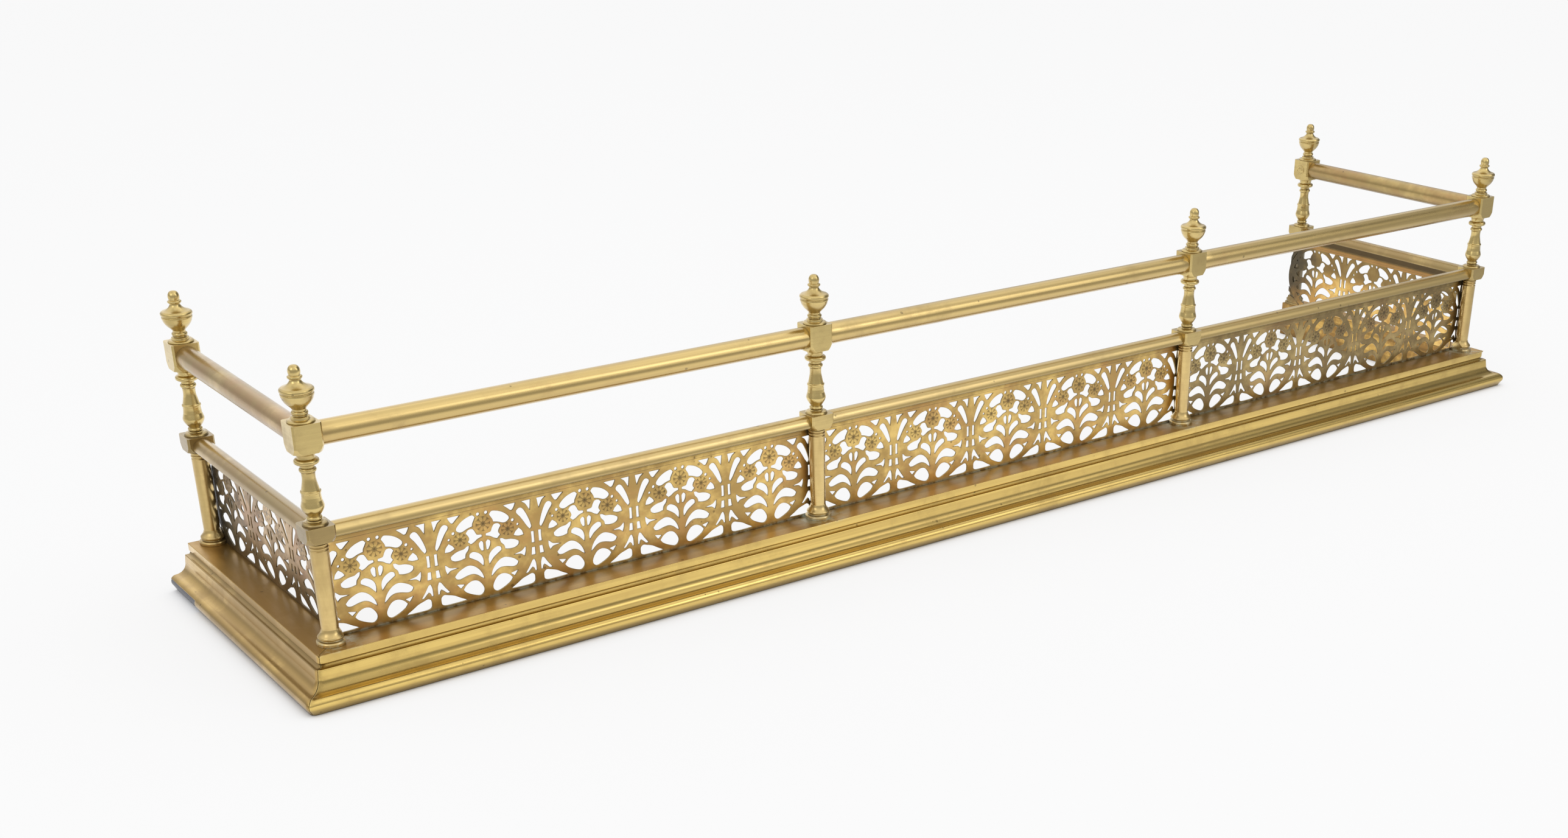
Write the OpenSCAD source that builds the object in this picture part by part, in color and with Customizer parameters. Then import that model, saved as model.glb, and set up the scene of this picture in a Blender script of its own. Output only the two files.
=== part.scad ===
// Brass fire fender: a three-sided gallery on a moulded base, open at the back.
// Millimetres. X runs along the front, the front faces -Y, the floor is Z = 0,
// and the origin is the middle of the footprint.

/* [Plan] */
// Front corner post to front corner post, axis to axis
front_span = 1320; // [1100:10:1500]
// Front post to rear post on each side, axis to axis
side_span = 251; // [235:1:320]

/* [Posts] */
// Height of the leg and its foot, from the deck to the lower block
leg_h = 82; // [70:1:100]
// Radius of the leg under its top ring
leg_r = 7; // [6:0.1:7.2]
// Height of the ring at the leg's top
leg_ring_h = 2; // [1.5:0.1:3]
// Radius of the foot's bottom ring
foot_r = 11.4; // [10.5:0.1:12.5]
// Height of the foot's turned rings and cove
foot_h = 12; // [10:0.5:16]
// Side of the square blocks
block_w = 22; // [21:0.5:26]
// Height of the lower block, which holds the cap rails
lower_block_h = 12.5; // [12.5:0.5:16]
// Height of the turned baluster between the blocks
baluster_h = 55.5; // [45:0.5:75]
// Height of the upper block, which carries the top rails
upper_block_h = 22; // [21:0.5:26]
// Chamfer on the blocks' upright corners
block_chamfer = 1.5; // [0.5:0.1:2.5]
// Height of the finial
finial_h = 41; // [32:0.5:55]

/* [Rails] */
// Outside radius of the top rail tube
top_rail_r = 9.2; // [8.5:0.1:10]
// Wall of the top rail tube
top_rail_wall = 1.2; // [1:0.1:2]
// Radius of the cap rail's rounded top
cap_r = 8.2; // [7.8:0.1:9]
// Height of the cap rail over its neck
cap_h = 9.5; // [8.5:0.1:9.8]
// Height of the narrow neck under the cap rail
cap_neck_h = 2; // [1.5:0.1:3]
// How deep the cap rail's ends are let into the lower blocks
cap_seat = 1.5; // [0.8:0.1:2]

/* [Pierced panels] */
// Sheet thickness
panel_t = 1.2; // [0.8:0.1:1.3]
// Ornaments in one bay of the front
bay_motifs = 5; // [3:1:6]
// Ornaments on each side
side_motifs = 3; // [2:1:3]
// How far in front of the corner post's axis a side's first ornament starts
side_lead = 4; // [2:0.5:8]
// How far behind the rear post's axis a side's last ornament ends
side_trail = 9; // [6:0.5:9.5]
// Plain strip at a panel's foot
panel_foot_h = 2.5; // [2:0.1:3.5]

/* [Base] */
// Height of the moulded base, floor to deck
base_h = 38; // [34:0.5:50]
// Thickness of the brass skin
skin_t = 1.2; // [0.8:0.1:1.5]
// Deck behind the posts' axes
deck_back = 9; // [8.9:0.1:12]
// Deck in front of the posts' axes
deck_front = 18.5; // [17:0.5:24]
// Upright lip under the deck's edge
lip_h = 7; // [5:0.5:8]
// Height of the groove under the lip
groove_h = 2.5; // [2:0.1:3]
// Depth of that groove
groove_d = 1.5; // [0.8:0.1:1.8]
// How far the step stands out beyond the lip
step_out = 4.5; // [3:0.5:6]
// Height of the step
step_h = 6.5; // [5:0.5:8]
// Radius of the cove
cove_r = 9; // [7:0.5:11]
// Radius of the rounded nose
nose_r = 5.5; // [4:0.5:6]
// How far the base runs on behind the rear posts' axes
base_trail = 11; // [10:0.5:16]
// Length of the skin that is torn away under the left side's rear end
torn_l = 52; // [0:1:90]
// Height of that tear
torn_h = 4.5; // [2:0.5:6]

/* [Iron inside the base] */
// Thickness of the bar under the deck, which carries the posts
deck_bar_t = 6; // [4:0.5:8]
// Thickness of the sole strip on the floor
sole_t = 4; // [3.5:0.5:5]
// Radius of the pillars between deck bar and sole
pillar_r = 6; // [5:0.5:7]
// Radius of the pillars' riveted tops
rivet_r = 3; // [2:0.5:4]
// Radius of the sole screws
screw_r = 2.5; // [2:0.25:2.5]
// Length of the sole screws
screw_l = 14; // [10:1:18]

/* [Rods and fittings] */
// Radius of the rod that ties a post together
rod_r = 3; // [2:0.25:3]
// How far the rod reaches into the finial
rod_grip = 15; // [8:0.5:15]
// Radius of the dowel inside a top rail's end: its shank in the block
shank_r = 4; // [3:0.25:4.5]
// How deep that shank goes into the block
shank_l = 4; // [2:0.5:4]
// Length of the dowel's plug inside the tube
dowel_l = 10; // [8:1:16]
// Radius of the pins that lock the tubes to the dowels
pin_r = 1.3; // [0.8:0.1:2]
// Radius of the plug that fills a rear block's unused socket
plug_r = 5.5; // [5:0.5:7]
// How far that plug's head stands out
plug_head_t = 0.8; // [0.5:0.1:2]

/* [Hidden] */
// Radial clearance of rods, shanks, pins and rivets in their holes
fit = 0.1;
// Clearance of what slides together at assembly
ease = 0.3;
// What a cutting shape runs past the face that it cuts
over = 1;

front_bay_names = ["left", "middle", "right"];
side_names = ["left", "right"];
post_names = ["rear_left", "front_left", "mid_left", "mid_right", "front_right", "rear_right"];

front_bays = len(front_bay_names);
bay_l = front_span / front_bays;
half_w = front_span / 2;
step_z = lip_h + groove_h;
step_o = deck_front + step_out;
nose_o = step_o + cove_r + nose_r;
nose_z = step_z + step_h + cove_r + nose_r;

// The finials' rims overhang the base's rear ends a little
finial_rim_r = 12.3;
rear_o = max(base_trail, finial_rim_r);
front_y = nose_o - (nose_o + side_span + rear_o) / 2;
rear_y = front_y + side_span;

lower_block_z = base_h + leg_h;
baluster_z = lower_block_z + lower_block_h;
upper_block_z = baluster_z + baluster_h;
finial_z = upper_block_z + upper_block_h;
top_rail_z = upper_block_z + upper_block_h / 2;
// The cap rail's underside stands this far above the lower block's
cap_lift = 2;
// How much thinner the leg is at its foot, and how far its top ring stands out
leg_taper = 0.4;
leg_ring_out = 0.3;
cap_z = lower_block_z + cap_lift;

// The panels stand just behind the legs and under the cap rails' rims
panel_o = leg_r + leg_ring_out + 2 * fit;
rim_gap = 0.4;
panel_h = leg_h + cap_lift + cap_neck_h - rim_gap;
// The cap rail lies a little to the rear of the posts' axes, so that its rim covers the panel
cap_back = panel_o + panel_t + 0.1 - cap_r;

// Nuts and washers under the deck bar, sized from the rod
nut_r = 1.92 * rod_r;
nut_h = 5;
washer_r = 2.1 * rod_r;
washer_t = 1.6;
nut_z = base_h - skin_t - deck_bar_t - washer_t - nut_h;
// How far the rod's end stands out below its nut
rod_tail = 2;
// How far the sole screws' heads are sunk above the floor
screw_sink = 0.3;

// Each post: where it stands, which ways its rails run and on which sides the panels pass it
post_at = [
    [-half_w, rear_y],
    [-half_w, front_y],
    [-half_w + bay_l, front_y],
    [half_w - bay_l, front_y],
    [half_w, front_y],
    [half_w, rear_y]
];
post_rails = [[270], [0, 90], [0, 180], [0, 180], [90, 180], [270]];
post_panels = [[0], [0, 90], [90], [90], [90, 180], [180]];
// The rear blocks' unused sockets, which face each other across the hearth
post_plugs = [[0], [], [], [], [], [180]];

function arc(cx, cy, r, a0, a1, n) =
    [for (i = [0:n]) [cx + r * cos(a0 + (a1 - a0) * i / n), cy + r * sin(a0 + (a1 - a0) * i / n)]];
function stretch(points, kx, ky) = [for (p = points) [p[0] * kx, p[1] * ky]];
function flip(points) = [for (p = points) [-p[0], p[1]]];

// Turned outlines, radius and height, drawn at these heights and stretched to fit
baluster_drawn = 55.5;
baluster_outline = concat(
    [[0, 0], [9.5, 0], [9.5, 0.6], [8.8, 1.6], [6.6, 2.5], [5.4, 3]],
    arc(4.4, 5, 1.4, -70, 70, 5),
    [[5, 6.7], [5.4, 7.6], [6.8, 9.7], [7.9, 11.8], [8.4, 13.7], [8, 15.8], [7.3, 18.4]],
    [[6.9, 21.3], [6.9, 24.2], [7.4, 24.6], [7.4, 25.6], [6.6, 26.4], [5.7, 29.8], [5, 34], [4.9, 37]],
    [[5.1, 39.2]],
    arc(4.6, 41.5, 1.7, -80, 80, 6),
    [[5.2, 43.6], [5.2, 45.6]],
    arc(7.1, 48, 2, -90, 90, 6),
    [[6.5, 50.4], [6.5, 51.6], [7, 53.6], [8.2, 55.5], [0, 55.5]]
);
finial_drawn = 41;
finial_outline = concat(
    [[0, 0], [10, 0], [10, 0.7], [9, 1.6], [6.8, 2.2], [6.8, 3.8], [5.6, 4.2], [5.6, 5]],
    arc(4.6, 6.4, 1.5, -70, 70, 5),
    [[5, 8.2], [5.1, 9.2], [6.6, 11.2], [8.9, 13.6], [10.6, 16.2], [11.5, 18.8], [11.8, 19.4]],
    [[11.8, 20.6], [11.3, 21], [11.3, 21.6], [12, 22], [12.3, 22.9], [12, 24.2], [10.6, 25.2]],
    [[8.2, 25.9], [6.2, 27], [4.8, 28.4], [4.1, 29.8], [3.9, 31], [4.8, 31.3], [5.3, 31.9]],
    [[5.3, 32.7], [4.8, 33.2], [4, 33.5], [4.2, 34.6], [4.4, 35.8], [4.4, 37], [4, 38.5]],
    [[3.1, 39.9], [1.8, 40.7], [0, 41]]
);
foot_drawn_r = 11.4;
foot_drawn_h = 12;
foot_outline = [
    [0, 0], [11.4, 0], [11.4, 2.3], [10.7, 3.2], [8.8, 3.6], [8.8, 4.6], [9.8, 5], [10.1, 5.8],
    [9.8, 6.7], [8.6, 8], [7.4, 9.8], [6.6, 12], [0, 12]
];

// How far the step leans back at its top, and how far the nose is tucked in at the floor
step_lean = 0.8;
tuck = 3.5;

// The base moulding's outline, drawn in by t, from the hearth side's foot round to the front's
function base_outline(t, drop) = concat(
    [[-deck_back + t, -base_h - drop], [-deck_back + t, -t], [deck_front - t, -t]],
    [[deck_front - t, -lip_h + t], [deck_front - groove_d - t, -lip_h + t]],
    [[deck_front - groove_d - t, -step_z - t], [step_o - step_lean - t, -step_z - t]],
    arc(step_o + cove_r, -step_z - step_h, cove_r + t, 180, 270, 6),
    arc(step_o + cove_r, nose_r - nose_z, nose_r - t, 72, -40, 8),
    [[nose_o - tuck - t, -base_h - drop]]
);

// One ornament: half of each pair of openings, from the ornament's middle line and the
// panel's foot, drawn for this pitch and for this height over the foot strip
drawn_pitch = 88;
drawn_h = 85.6;
ring_z = 37.2;
ring_r = 40.5;
// Where the plain strip along the top begins
top_strip_z = 73.5;
// Width left round the openings at a panel's ends
end_rim = 1.8;

// Inside the ring: the two low eggs, the leaves, the buds and the side scrolls
ring_openings = [
    [[20.7, 11.5], [17.9, 14.7], [13.4, 16.8], [9, 16], [5.8, 12.7], [4, 8.7], [4.6, 5.7], [7, 4],
        [10, 4.5], [14.9, 6.6], [18.9, 9.1]],
    [[19.9, 15.5], [25.7, 16.7], [22.9, 13.2]],
    [[3.2, 17.2], [4.5, 21.2], [7, 25.2], [11, 28.7], [15.4, 30], [19.9, 28.7], [23.9, 26.5],
        [26.7, 23.7], [25.4, 21.5], [22.4, 20.9], [16.9, 22.3], [12, 22.7], [8, 21.1], [5, 18.5]],
    [[2.6, 27.7], [2.3, 31.7], [3.5, 35.7], [6.5, 38.7], [10.5, 40.3], [13.1, 39], [13.3, 36.7],
        [9.5, 34.3], [6.5, 32.2], [4.3, 29.7]],
    [[1.3, 46.2], [2.8, 47.7], [4.6, 46.2], [4.2, 42.7], [2.6, 39.9], [1.4, 40.1]],
    [[9.2, 59], [12.5, 58.9], [14.4, 56.7], [12.7, 54.2], [12, 51.7], [13.3, 49.5], [11, 47.3],
        [8.5, 48.3], [5.5, 50.3], [1.8, 51.5], [2, 52.9], [6, 53.7], [7.2, 56.2]],
    [[29.4, 51.2], [26.4, 48.7], [25.2, 46.5], [28.9, 45.1], [32.9, 45.2], [31.9, 48.5]],
    [[13.2, 46.1], [13.9, 43.2], [16.4, 40.2], [17.1, 37.1], [20.9, 36.3], [25.4, 36.5],
        [28.2, 38.2], [28.5, 40.5], [25.9, 42.3], [21.9, 43.7], [17.4, 44.3], [14.9, 45.9]],
    [[33.9, 34.7], [30.4, 31.7], [23.9, 30.4], [29.9, 29.7], [32.6, 27.5], [33.7, 30.7]]
];
// Between the flowers and over the ring
crown_openings = [
    [[6.2, 67.9], [8, 70], [11.5, 69.5], [15.4, 68], [18.9, 65.7], [21.7, 62.7], [21.9, 60.7],
        [19.4, 58.9], [16.9, 58.9], [13, 60.5], [9, 61.5], [8.6, 63.5], [7.4, 65.7]],
    [[18.7, 72.4], [28.1, 72.4], [27.4, 70.7], [25.7, 67.9], [24.2, 67.6], [21.9, 69.7]]
];
// Small drilled holes: place and radius
drilled_holes = [[3.4, 70.2, 1.4], [24.9, 59.1, 1.3], [28.9, 54.7, 1]];
// Round the palmette that fills the gap between two rings, from that gap's middle line
palmette_openings = [
    [[12.8, 67.4], [15, 65.9], [15, 63.9], [12.5, 60.7], [9.6, 56], [7.3, 51.9], [5, 48.7],
        [3.8, 50.1], [4.8, 54.7], [6.7, 60], [9, 64.7], [10.8, 66.9]],
    [[3, 72.3], [10, 72.3], [7.5, 70.7], [6, 68.5], [4, 64.7]],
    [[2.2, 36.7], [2.2, 45.7], [4.2, 45.7], [4, 41], [4.2, 36.7]],
    [[2.2, 26.5], [2.2, 32.3], [4.4, 32.3], [5.2, 26.5]],
    [[2.2, 12.9], [2.4, 18.7], [3.6, 22.3], [5, 21.7], [8, 16.9], [11.3, 12.5], [9.6, 12.6],
        [7, 15.1], [5.2, 16.5], [3.8, 15.3], [3.1, 13]],
    [[4.2, 6.2], [4.4, 9.2], [6.5, 10.9], [10, 10], [15, 8.3], [19.5, 5.5], [24.6, 2.7],
        [13, 2.5], [7, 2.7], [4.6, 3.9]]
];

$fn = 48;

// ---- Places ----

module at_post(i) {
    translate([post_at[i][0], post_at[i][1], 0]) children();
}

module at_posts() {
    for (i = [0:len(post_at) - 1]) at_post(i) children();
}

// A front bay's run starts at its left post and goes along +X, with the outside at -Y
module at_front_bay(i) {
    translate([-half_w + i * bay_l, front_y, 0]) children();
}

// A side's run starts at its corner post and goes along +Y: the same drawing, turned or mirrored
module at_side(name) {
    mirror([name == "left" ? 1 : 0, 0, 0])
        translate([half_w, front_y, 0])
            rotate([0, 0, 90])
                children();
}

module at_front() {
    at_front_bay(0) children();
}

// A section, drawn as distance outward and height, drawn out along a run
module run(from, to) {
    translate([from, 0, 0])
        rotate([90, 0, 90])
            linear_extrude(height = to - from)
                children();
}

// ---- Posts ----

// Whether the panel lies to the right of a rail that leaves a post at x in direction a
function panel_on_right(a, x) = a == 180 || (a == 90 && x < 0) || (a == 270 && x > 0);

module rod_bore(from, to) {
    translate([0, 0, from - over]) cylinder(h = to - from + 2 * over, r = rod_r + fit);
}

module block(h) {
    c = block_w / 2;
    d = c - block_chamfer;
    linear_extrude(height = h)
        polygon([[c, -d], [c, d], [d, c], [-d, c], [-c, d], [-c, -d], [-d, -c], [d, -c]]);
}

module finial(i) {
    color("goldenrod")
        at_post(i)
            translate([0, 0, finial_z])
                difference() {
                    rotate_extrude()
                        polygon(stretch(finial_outline, 1, finial_h / finial_drawn));
                    translate([0, 0, -over]) cylinder(h = rod_grip + ease + over, r = rod_r + fit);
                }
}

module standard(i) {
    color("goldenrod")
        at_post(i)
            difference() {
                union() {
                    translate([0, 0, lower_block_z]) block(lower_block_h);
                    translate([0, 0, baluster_z])
                        rotate_extrude()
                            polygon(stretch(baluster_outline, 1, baluster_h / baluster_drawn));
                    translate([0, 0, upper_block_z]) block(upper_block_h);
                }
                rod_bore(lower_block_z, finial_z);
                for (a = concat(post_rails[i], post_plugs[i]))
                    translate([0, 0, top_rail_z])
                        rotate([0, 90, a])
                            translate([0, 0, block_w / 2 - shank_l - fit])
                                cylinder(h = shank_l + fit + over, r = shank_r + fit);
                for (a = post_rails[i])
                    rotate([0, 0, a])
                        translate([0, 0, cap_z])
                            run(block_w / 2 - cap_seat, block_w / 2 + over)
                                cap_section(fit, panel_on_right(a, post_at[i][0]));
            }
}

module leg(i) {
    color("darkgoldenrod")
        at_post(i)
            translate([0, 0, base_h])
                difference() {
                    union() {
                        rotate_extrude()
                            polygon(stretch(foot_outline, foot_r / foot_drawn_r, foot_h / foot_drawn_h));
                        translate([0, 0, foot_h])
                            cylinder(h = leg_h - leg_ring_h - foot_h, r1 = leg_r - leg_taper, r2 = leg_r);
                        translate([0, 0, leg_h - leg_ring_h])
                            cylinder(h = leg_ring_h, r = leg_r + leg_ring_out);
                    }
                    rod_bore(0, leg_h);
                    for (a = post_panels[i])
                        rotate([0, 0, a])
                            translate([panel_o - fit, -foot_r * 2, -over])
                                cube([foot_r, foot_r * 4, foot_h + over]);
                }
}

// ---- Rails ----

// The cap rail's section: the panel side is at +Y of a run, or at -Y when flipped
module cap_section(grow, flipped) {
    side = flipped ? -1 : 1;
    intersection() {
        translate([side * cap_back, cap_h - cap_r]) circle(r = cap_r + grow);
        translate([-2 * cap_r, cap_neck_h - grow]) square([4 * cap_r, cap_r + over]);
    }
    neck = panel_o - fit + grow;
    translate([-neck, -grow]) square([2 * neck, cap_neck_h + 2 * grow]);
}

module cap_rail(length) {
    color("goldenrod")
        translate([0, 0, cap_z])
            run(block_w / 2 - cap_seat + fit, length - block_w / 2 + cap_seat - fit)
                cap_section(0, false);
}

module top_rail(length) {
    color("goldenrod")
        translate([0, 0, top_rail_z])
            difference() {
                run(block_w / 2, length - block_w / 2) circle(r = top_rail_r);
                run(block_w / 2 - over, length - block_w / 2 + over) circle(r = top_rail_r - top_rail_wall);
                for (x = pin_places(length))
                    translate([x, 0, -top_rail_r - over]) cylinder(h = top_rail_r, r = pin_r + fit);
            }
}

function pin_places(length) = [
    block_w / 2 + dowel_l / 2,
    length - block_w / 2 - dowel_l / 2
];

// ---- Pierced panels ----

module opening_pair(points, pitch) {
    drawn = stretch(points, pitch / drawn_pitch, panel_h / drawn_h);
    polygon(drawn);
    polygon(flip(drawn));
}

module motif(pitch) {
    for (points = concat(ring_openings, crown_openings)) opening_pair(points, pitch);
    for (hole = drilled_holes)
        for (side = [-1, 1])
            translate([side * hole[0] * pitch / drawn_pitch, hole[1] * panel_h / drawn_h])
                circle(r = hole[2]);
}

module palmette(pitch) {
    for (points = palmette_openings) opening_pair(points, pitch);
}

// Openings for count ornaments from x = start on, within the sheet's ends at from and to.
// A front sheet's ends lie on the posts' axes, behind the legs' flats
module pierced_sheet(from, to, start, count, pitch) {
    difference() {
        union() children();
        intersection() {
            union() {
                for (i = [0:count - 1]) translate([start + (i + 0.5) * pitch, 0]) motif(pitch);
                for (i = [0:count]) translate([start + i * pitch, 0]) palmette(pitch);
            }
            translate([from + end_rim, 0]) square([to - from - 2 * end_rim, panel_h]);
        }
    }
}

// Room for the lower block in the sheet's top edge
module block_notch(x) {
    translate([x - block_w / 2 - ease, leg_h - ease])
        square([block_w + 2 * ease, panel_h - leg_h + ease + over]);
}

module standing_sheet() {
    translate([0, panel_o + panel_t, base_h])
        rotate([90, 0, 0])
            linear_extrude(height = panel_t)
                children();
}

module panel_front(i) {
    pitch = bay_l / bay_motifs;
    color("peru")
        at_front_bay(i)
            standing_sheet()
                difference() {
                    pierced_sheet(0, bay_l, 0, bay_motifs, pitch) square([bay_l, panel_h]);
                    block_notch(0);
                    block_notch(bay_l);
                }
}

// The rear end follows the last ring's outer edge, between a foot strip and a top strip
module panel_side() {
    pitch = (side_lead + side_span + side_trail) / side_motifs;
    from = panel_o + panel_t;
    ring_x = side_span + side_trail - pitch / 2;
    end_r = ring_r * pitch / drawn_pitch;
    to = ring_x + end_r;
    kz = panel_h / drawn_h;
    strip_z = top_strip_z * kz;
    color("peru")
        standing_sheet()
            difference() {
                pierced_sheet(from, to, -side_lead, side_motifs, pitch) {
                    translate([from, 0]) square([ring_x - from, panel_h]);
                    intersection() {
                        translate([ring_x, ring_z * kz]) circle(r = end_r);
                        translate([ring_x - over, 0]) square([end_r + 2 * over, strip_z]);
                    }
                    translate([from, 0]) square([to - from, panel_foot_h]);
                    translate([from, strip_z]) square([to - from, panel_h - strip_z]);
                }
                block_notch(0);
                block_notch(side_span);
            }
}

// ---- Base ----

// A run of the base, mitred through the corner posts' axes
module mitred(length, ends, from_z, to_z) {
    out = nose_o + over;
    in = deck_back + over;
    far = ends == 2 ? length : length + base_trail;
    intersection() {
        run(-out, far + (ends == 2 ? out : 0)) children();
        translate([0, 0, from_z - over])
            linear_extrude(height = to_z - from_z + 2 * over)
                polygon(ends == 2
                    ? [[-out, -out], [length + out, -out], [length - in, in], [in, in]]
                    : [[-out, -out], [far, -out], [far, in], [in, in]]);
    }
}

module rod_holes(places, r) {
    for (x = places) translate([x, 0, 0]) cylinder(h = base_h + over, r = r);
}

function front_posts() = [for (i = [0:front_bays]) i * bay_l];
function side_posts() = [0, side_span];

module base_moulding(length, ends, posts, torn) {
    color("darkgoldenrod")
        difference() {
            mitred(length, ends, 0, base_h)
                translate([0, base_h])
                    difference() {
                        polygon(flip(base_outline(0, 0)));
                        polygon(flip(base_outline(skin_t, over)));
                    }
            rod_holes(posts, rod_r + fit);
            if (torn && torn_l > 0)
                translate([length + base_trail - torn_l, -nose_o - over, -over])
                    cube([torn_l + over, nose_r + tuck + over, torn_h + over]);
        }
}

module deck_bar(length, ends, posts, pillars) {
    top = base_h - skin_t;
    back = deck_back - skin_t - ease;
    front = deck_front - groove_d - skin_t - ease;
    color("dimgray")
        difference() {
            mitred(length, ends, 0, base_h)
                translate([-front, top - deck_bar_t]) square([front + back, deck_bar_t]);
            rod_holes(posts, rod_r + fit);
            rod_holes(pillars, rivet_r + fit);
        }
}

module sole(length, ends, pillars) {
    back = deck_back - skin_t - ease;
    front = nose_o - tuck - skin_t - ease;
    color("dimgray")
        difference() {
            mitred(length, ends, 0, base_h)
                translate([-front, 0]) square([front + back, sole_t]);
            for (x = pillars)
                translate([x, 0, 0]) {
                    countersunk(fit);
                    translate([0, 0, -over]) cylinder(h = over + screw_sink, r = 2 * screw_r + fit);
                }
        }
}

// A countersunk screw, head down, its head sunk a little above the floor
module countersunk(grow) {
    translate([0, 0, screw_sink]) {
        cylinder(h = screw_l, r = screw_r + grow);
        cylinder(h = screw_r, r1 = 2 * screw_r + grow, r2 = screw_r + grow);
    }
}

function front_pillars() = [for (i = [0:front_bays - 1]) (i + 0.5) * bay_l];
function side_pillars() = [side_span / 2];

module at_pillars() {
    at_front() for (x = front_pillars()) translate([x, 0, 0]) children();
    for (s = side_names) at_side(s) for (x = side_pillars()) translate([x, 0, 0]) children();
}

module sole_pillars() {
    color("dimgray")
        at_pillars()
            difference() {
                union() {
                    translate([0, 0, sole_t])
                        cylinder(h = base_h - skin_t - deck_bar_t - sole_t, r = pillar_r);
                    translate([0, 0, sole_t])
                        cylinder(h = base_h - skin_t - sole_t, r = rivet_r);
                }
                cylinder(h = screw_l + over, r = screw_r + fit);
            }
}

module sole_screws() {
    color("gray") at_pillars() countersunk(0);
}

// ---- Rods and fittings ----

module tie_rods() {
    foot_z = nut_z - rod_tail;
    color("gray")
        at_posts()
            translate([0, 0, foot_z]) cylinder(h = finial_z + rod_grip - foot_z, r = rod_r);
}

module tie_nuts() {
    color("gray")
        at_posts()
            translate([0, 0, nut_z])
                difference() {
                    cylinder(h = nut_h, r = nut_r, $fn = 6);
                    translate([0, 0, -over]) cylinder(h = nut_h + 2 * over, r = rod_r + fit);
                }
}

module tie_washers() {
    color("gray")
        at_posts()
            translate([0, 0, nut_z + nut_h])
                difference() {
                    cylinder(h = washer_t, r = washer_r);
                    translate([0, 0, -over]) cylinder(h = washer_t + 2 * over, r = rod_r + fit);
                }
}

module rail_dowel() {
    difference() {
        union() {
            translate([-shank_l, 0, 0]) rotate([0, 90, 0]) cylinder(h = shank_l, r = shank_r);
            rotate([0, 90, 0]) cylinder(h = dowel_l, r = top_rail_r - top_rail_wall - fit);
        }
        translate([dowel_l / 2, 0, -top_rail_r - over]) cylinder(h = top_rail_r, r = pin_r + fit);
    }
}

module rail_dowels() {
    color("gray")
        for (i = [0:len(post_at) - 1])
            for (a = post_rails[i])
                at_post(i)
                    rotate([0, 0, a])
                        translate([block_w / 2, 0, top_rail_z])
                            rail_dowel();
}

module rail_pins() {
    color("saddlebrown")
        for (i = [0:len(post_at) - 1])
            for (a = post_rails[i])
                at_post(i)
                    rotate([0, 0, a])
                        translate([block_w / 2 + dowel_l / 2, 0, top_rail_z - top_rail_r])
                            cylinder(h = top_rail_r - over, r = pin_r);
}

module block_plugs() {
    color("goldenrod")
        for (i = [0:len(post_at) - 1])
            for (a = post_plugs[i])
                at_post(i)
                    rotate([0, 0, a])
                        translate([block_w / 2, 0, top_rail_z])
                            rotate([0, 90, 0]) {
                                cylinder(h = plug_head_t, r = plug_r);
                                translate([0, 0, -shank_l]) cylinder(h = shank_l + plug_head_t, r = shank_r);
                            }
}

// ---- The pieces ----

for (i = [0:len(post_names) - 1])
    finial(i);
for (i = [0:len(post_names) - 1])
    standard(i);
for (i = [0:len(post_names) - 1])
    leg(i);
for (i = [0:front_bays - 1])
    at_front_bay(i) top_rail(bay_l);
for (s = side_names)
    at_side(s) top_rail(side_span);
for (i = [0:front_bays - 1])
    at_front_bay(i) cap_rail(bay_l);
for (s = side_names)
    at_side(s) cap_rail(side_span);
for (i = [0:front_bays - 1])
    panel_front(i);
for (s = side_names)
    at_side(s) panel_side();
at_front() base_moulding(front_span, 2, front_posts(), false);  // base_moulding_front
for (s = side_names)
    at_side(s) base_moulding(side_span, 1, side_posts(), s == "left");
at_front() deck_bar(front_span, 2, front_posts(), front_pillars());  // deck_bar_front
for (s = side_names)
    at_side(s) deck_bar(side_span, 1, side_posts(), side_pillars());
at_front() sole(front_span, 2, front_pillars());  // sole_front
for (s = side_names)
    at_side(s) sole(side_span, 1, side_pillars());
tie_rods();
tie_nuts();
tie_washers();
rail_dowels();
rail_pins();
block_plugs();
sole_pillars();
sole_screws();
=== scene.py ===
import math
import random

import bmesh
import bpy
from mathutils import Matrix, Vector, noise


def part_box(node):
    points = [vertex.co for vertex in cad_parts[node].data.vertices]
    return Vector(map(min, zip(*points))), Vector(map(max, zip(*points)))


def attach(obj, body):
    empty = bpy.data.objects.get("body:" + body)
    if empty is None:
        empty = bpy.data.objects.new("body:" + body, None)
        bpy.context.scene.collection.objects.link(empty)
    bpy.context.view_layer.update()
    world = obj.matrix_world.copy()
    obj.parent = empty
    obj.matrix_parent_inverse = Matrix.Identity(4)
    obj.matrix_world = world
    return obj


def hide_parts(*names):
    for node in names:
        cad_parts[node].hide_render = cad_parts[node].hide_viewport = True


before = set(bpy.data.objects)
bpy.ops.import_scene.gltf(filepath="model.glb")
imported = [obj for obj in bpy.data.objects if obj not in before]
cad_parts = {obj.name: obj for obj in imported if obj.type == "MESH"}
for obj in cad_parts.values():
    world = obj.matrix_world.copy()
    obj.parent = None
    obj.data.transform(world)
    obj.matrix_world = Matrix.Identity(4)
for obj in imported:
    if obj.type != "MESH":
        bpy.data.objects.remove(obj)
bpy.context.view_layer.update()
scene = bpy.context.scene
print("frame loaded:", len(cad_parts), "nodes")

# Brass fire fender. Shapes are drawn in millimetres and placed in metres.
mm = 0.001
postNames = ["rear_left", "front_left", "mid_left", "mid_right", "front_right", "rear_right"]
bayNames = ["left", "middle", "right"]
sideNames = ["left", "right"]


def middle(node):
    low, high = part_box(node)
    return (low + high) / 2


def spin(degrees, axis, size=3):
    return Matrix.Rotation(math.radians(degrees), size, axis)


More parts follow.
